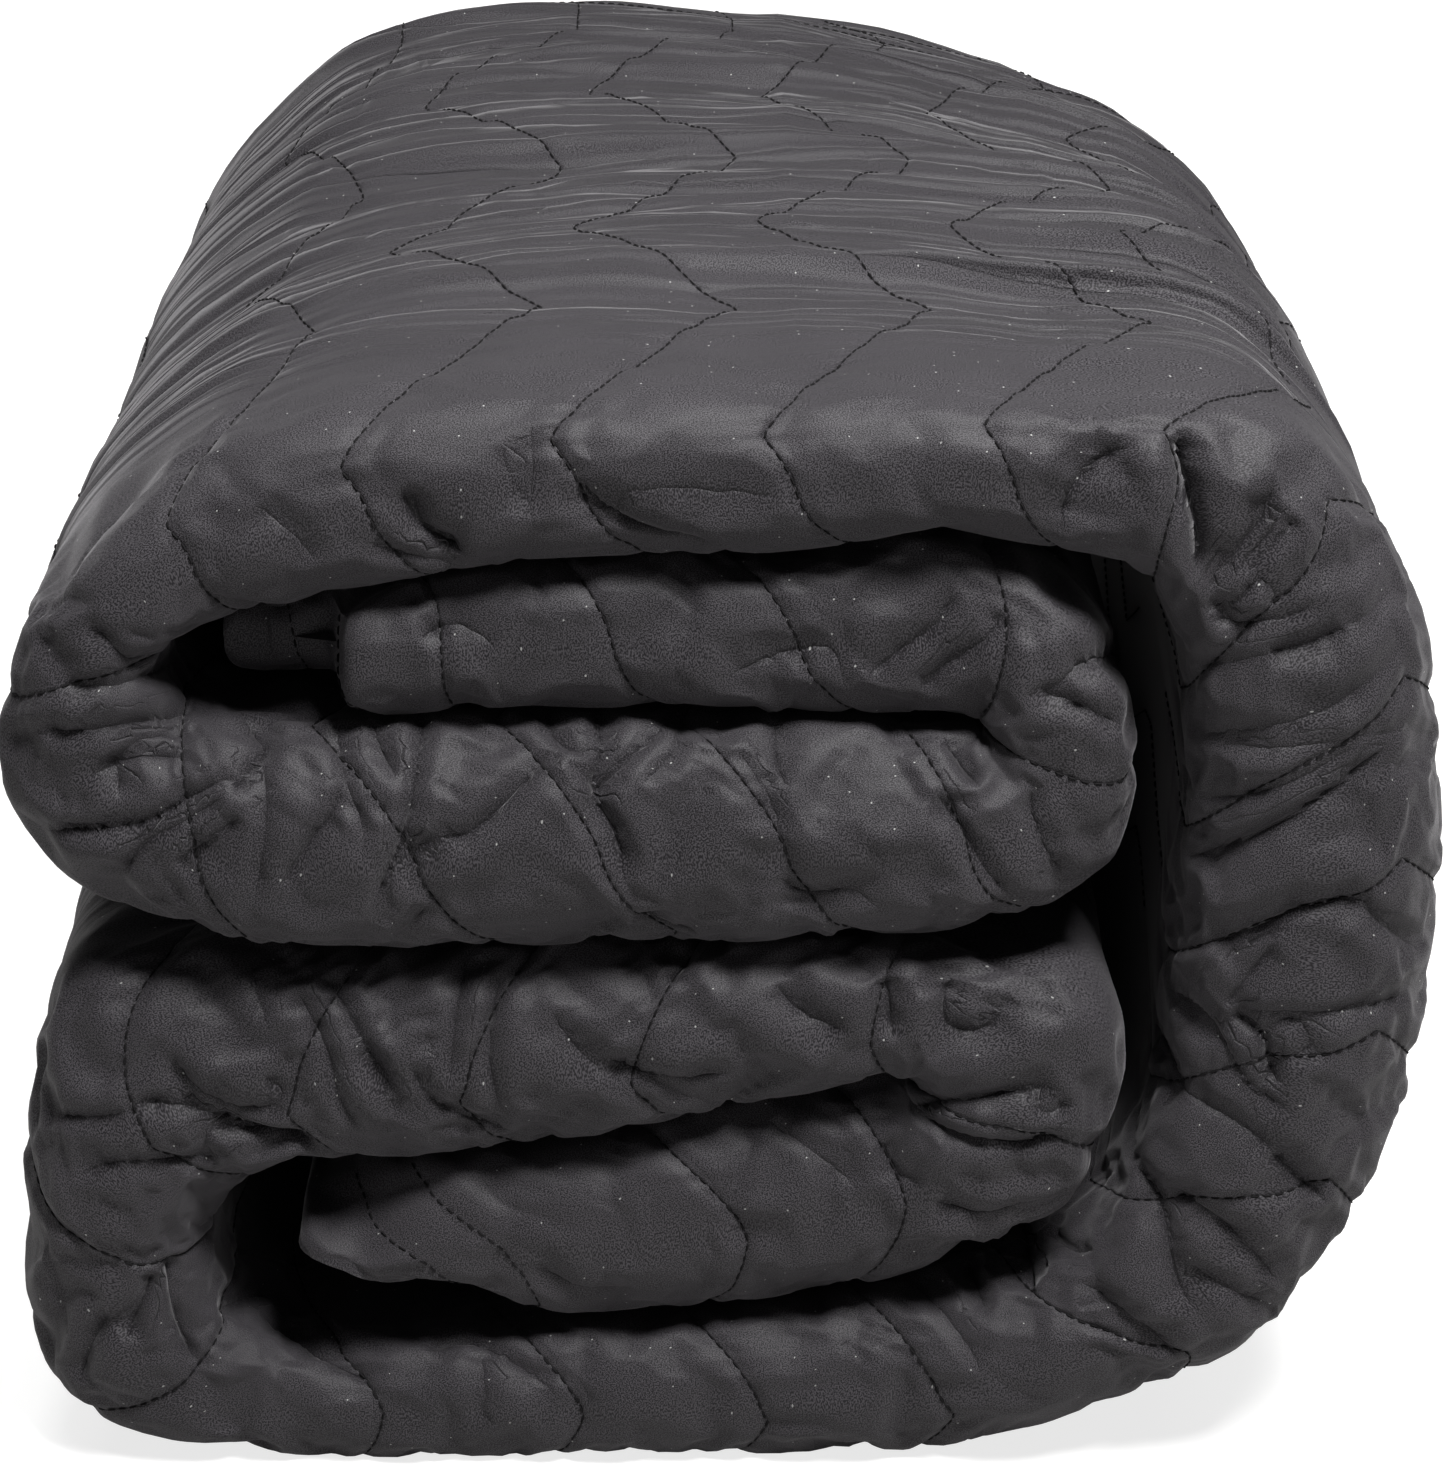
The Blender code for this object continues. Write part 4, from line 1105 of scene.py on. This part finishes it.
def cloth_finish():
    """Brushed charcoal microfibre: a tight weave with fine lint, gathers beside the stitch lines,
    long ripples where it lies open, and the sharp bottoms of its creases, which with the stitch
    lines are darkened by painted shade in its colour."""
    material = bpy.data.materials.new("charcoal microfibre")
    nodes = Nodes(material)
    shader = material.node_tree.nodes["Principled BSDF"]
    shader.inputs["Roughness"].default_value = 0.60
    shader.inputs["Specular IOR Level"].default_value = 0.22
    shader.inputs["Sheen Weight"].default_value = 0.14
    shader.inputs["Sheen Roughness"].default_value = 0.45
    shader.inputs["Sheen Tint"].default_value = (0.80, 0.78, 0.80, 1)
    place = nodes.add("ShaderNodeUVMap", {"uv_map": "cloth"}).outputs["UV"]
    by_seam, deep = nodes.mark("by_seam"), nodes.mark("crease_depth")
    beside = nodes.mark("beside_crease")
    line = nodes.times(nodes.near_zero(nodes.mark("past_seam"), LINE_WIDE), by_seam)
    grain = nodes.noise(place, WEAVE_HILLS)

    gathers = nodes.times(nodes.noise(place, PUCKER_HILLS), PUCKER_HIGH, by_seam)
    wander = nodes.times(nodes.noise(place, WANDER_HILLS), WANDER)
    bent = nodes.add("ShaderNodeCombineXYZ", Y=wander).outputs[0]
    bent = nodes.add("ShaderNodeVectorMath", {"operation": "ADD"}, in0=place, in1=bent).outputs[0]
    pleats = nodes.near_zero(nodes.noise(bent, PLEAT_HILLS), PLEAT_SHARP)
    ripples = nodes.sum(
        nodes.times(nodes.noise(bent, RIPPLE_HILLS), RIPPLE_HIGH), nodes.times(pleats, -PLEAT_DEEP))
    ripples = nodes.times(ripples, nodes.mark("ripples"))
    creases = nodes.times(nodes.near_zero(beside, CREASE_SHARP), deep, -CREASE_DEEPER)
    height = nodes.sum(
        gathers, ripples, creases, nodes.times(grain, WEAVE_HIGH), nodes.times(line, -LINE_DEEP))
    bump = nodes.add("ShaderNodeBump", Strength=1.0, Distance=1.0, Height=height)
    nodes.put(shader.inputs["Normal"], bump.outputs[0])

    # painted shade: the cloth's colour darkened at the bottoms of its creases and along its stitch lines,
    # where shade falls
    painted_shade = nodes.times(nodes.near_zero(beside, CREASE_SHADE_WIDE), deep, CREASE_PAINTED_SHADE)
    painted_shade = nodes.math("MINIMUM", nodes.sum(painted_shade, nodes.times(line, LINE_PAINTED_SHADE)), MOST_PAINTED_SHADE)
    patches = nodes.times(nodes.noise(place, PATCH_HILLS, 1.0), PATCH_TONE)
    tone = nodes.sum(0.5, patches, nodes.times(grain, WEAVE_TONE))
    ramp = nodes.add("ShaderNodeValToRGB", Fac=nodes.math("SUBTRACT", tone, painted_shade))
    ramp.color_ramp.elements[0].color = CLOTH_DARK
    ramp.color_ramp.elements[1].color = CLOTH_PALE
    cells = nodes.add("ShaderNodeTexVoronoi", {"voronoi_dimensions": "2D"}, Vector=place, Scale=LINT_HILLS)
    chosen = nodes.add("ShaderNodeSeparateColor", Color=cells.outputs["Color"]).outputs[0]
    chosen = nodes.math("GREATER_THAN", chosen, 1 - LINT_SHARE)
    dot = nodes.math("LESS_THAN", cells.outputs["Distance"], LINT_SIZE)
    lint = nodes.add("ShaderNodeMix", {"data_type": "RGBA"})
    nodes.put(lint.inputs["Factor"], nodes.times(chosen, dot, LINT_SHOWS))
    nodes.put(lint.inputs["A"], ramp.outputs[0])
    nodes.put(lint.inputs["B"], LINT_COLOUR)
    nodes.put(shader.inputs["Base Color"], lint.outputs["Result"])
    return material


def thread_finish():
    """Dark polyester thread."""
    material = bpy.data.materials.new("dark thread")
    material.use_nodes = True
    shader = material.node_tree.nodes["Principled BSDF"]
    shader.inputs["Base Color"].default_value = THREAD_COLOUR
    shader.inputs["Roughness"].default_value = 0.85
    shader.inputs["Specular IOR Level"].default_value = 0.15
    return material


# The studio

FLOOR_COLOUR = (0.36, 0.355, 0.35, 1)
FLOOR_GLOW, FLOOR_GLOW_SEEN = 0.08, 0.78  # as it lights the blanket, and as the camera sees it
ROOM_LIGHT = 0.06
LIGHTS = (
    # name, place, aim, size, power
    ("above the front", (0.36, -0.68, 1.40), (0, -0.15, 0.15), (0.30, 0.30), 33),
    ("overhead", (0.0, -0.15, 1.9), (0, 0, 0), (1.1, 0.7), 18),
    ("backdrop", (0.0, 1.9, 1.9), (0, 1.6, 0), (3.0, 1.4), 50),
)


def make_floor():
    bpy.ops.mesh.primitive_plane_add(size=8, location=(0, 0.6, -0.0005))
    floor = bpy.context.object
    floor.name = "floor"
    material = bpy.data.materials.new("pale floor")
    material.use_nodes = True
    shader = material.node_tree.nodes["Principled BSDF"]
    shader.inputs["Base Color"].default_value = FLOOR_COLOUR
    shader.inputs["Roughness"].default_value = 0.8
    shader.inputs["Specular IOR Level"].default_value = 0.1
    shader.inputs["Emission Color"].default_value = (1, 1, 1, 1)
    seen = material.node_tree.nodes.new("ShaderNodeLightPath")
    glow = material.node_tree.nodes.new("ShaderNodeMapRange")
    glow.inputs["To Min"].default_value = FLOOR_GLOW
    glow.inputs["To Max"].default_value = FLOOR_GLOW_SEEN
    material.node_tree.links.new(seen.outputs["Is Camera Ray"], glow.inputs["Value"])
    material.node_tree.links.new(glow.outputs["Result"], shader.inputs["Emission Strength"])
    floor.data.materials.append(material)
    return floor


def make_light(name, place, aim, size, power):
    bpy.ops.object.light_add(type="AREA", location=place)
    light = bpy.context.object
    light.name = name
    light.data.shape = "RECTANGLE"
    light.data.size, light.data.size_y = size
    light.data.energy = power
    light.rotation_euler = (Vector(aim) - Vector(place)).to_track_quat("-Z", "Y").to_euler()
    return light


def make_studio():
    world = bpy.data.worlds.new("white room")
    world.use_nodes = True
    world.node_tree.nodes["Background"].inputs["Color"].default_value = (1.0, 1.0, 1.0, 1)
    world.node_tree.nodes["Background"].inputs["Strength"].default_value = ROOM_LIGHT
    bpy.context.scene.world = world
    bpy.context.scene.view_settings.view_transform = "Standard"
    floor = make_floor()
    *_, backdrop = [make_light(*light) for light in LIGHTS]
    lit = bpy.data.collections.new("lit from behind")
    lit.objects.link(floor)
    backdrop.light_linking.receiver_collection = lit


camera = make_camera()
make_studio()
cloth_piece, cloth_places, cloth_points, cloth_sizes = make_cloth(camera)
cloth_piece.data.materials.append(cloth_finish())
stitches = make_stitches(cloth_piece, cloth_places, cloth_points, cloth_sizes)
stitches.data.materials.append(thread_finish())
print("triangles:", triangles(cloth_piece.data), "cloth,", triangles(stitches.data), "stitches")

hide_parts("blanket")
for part in (cloth_piece, stitches):
    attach(part, "root")
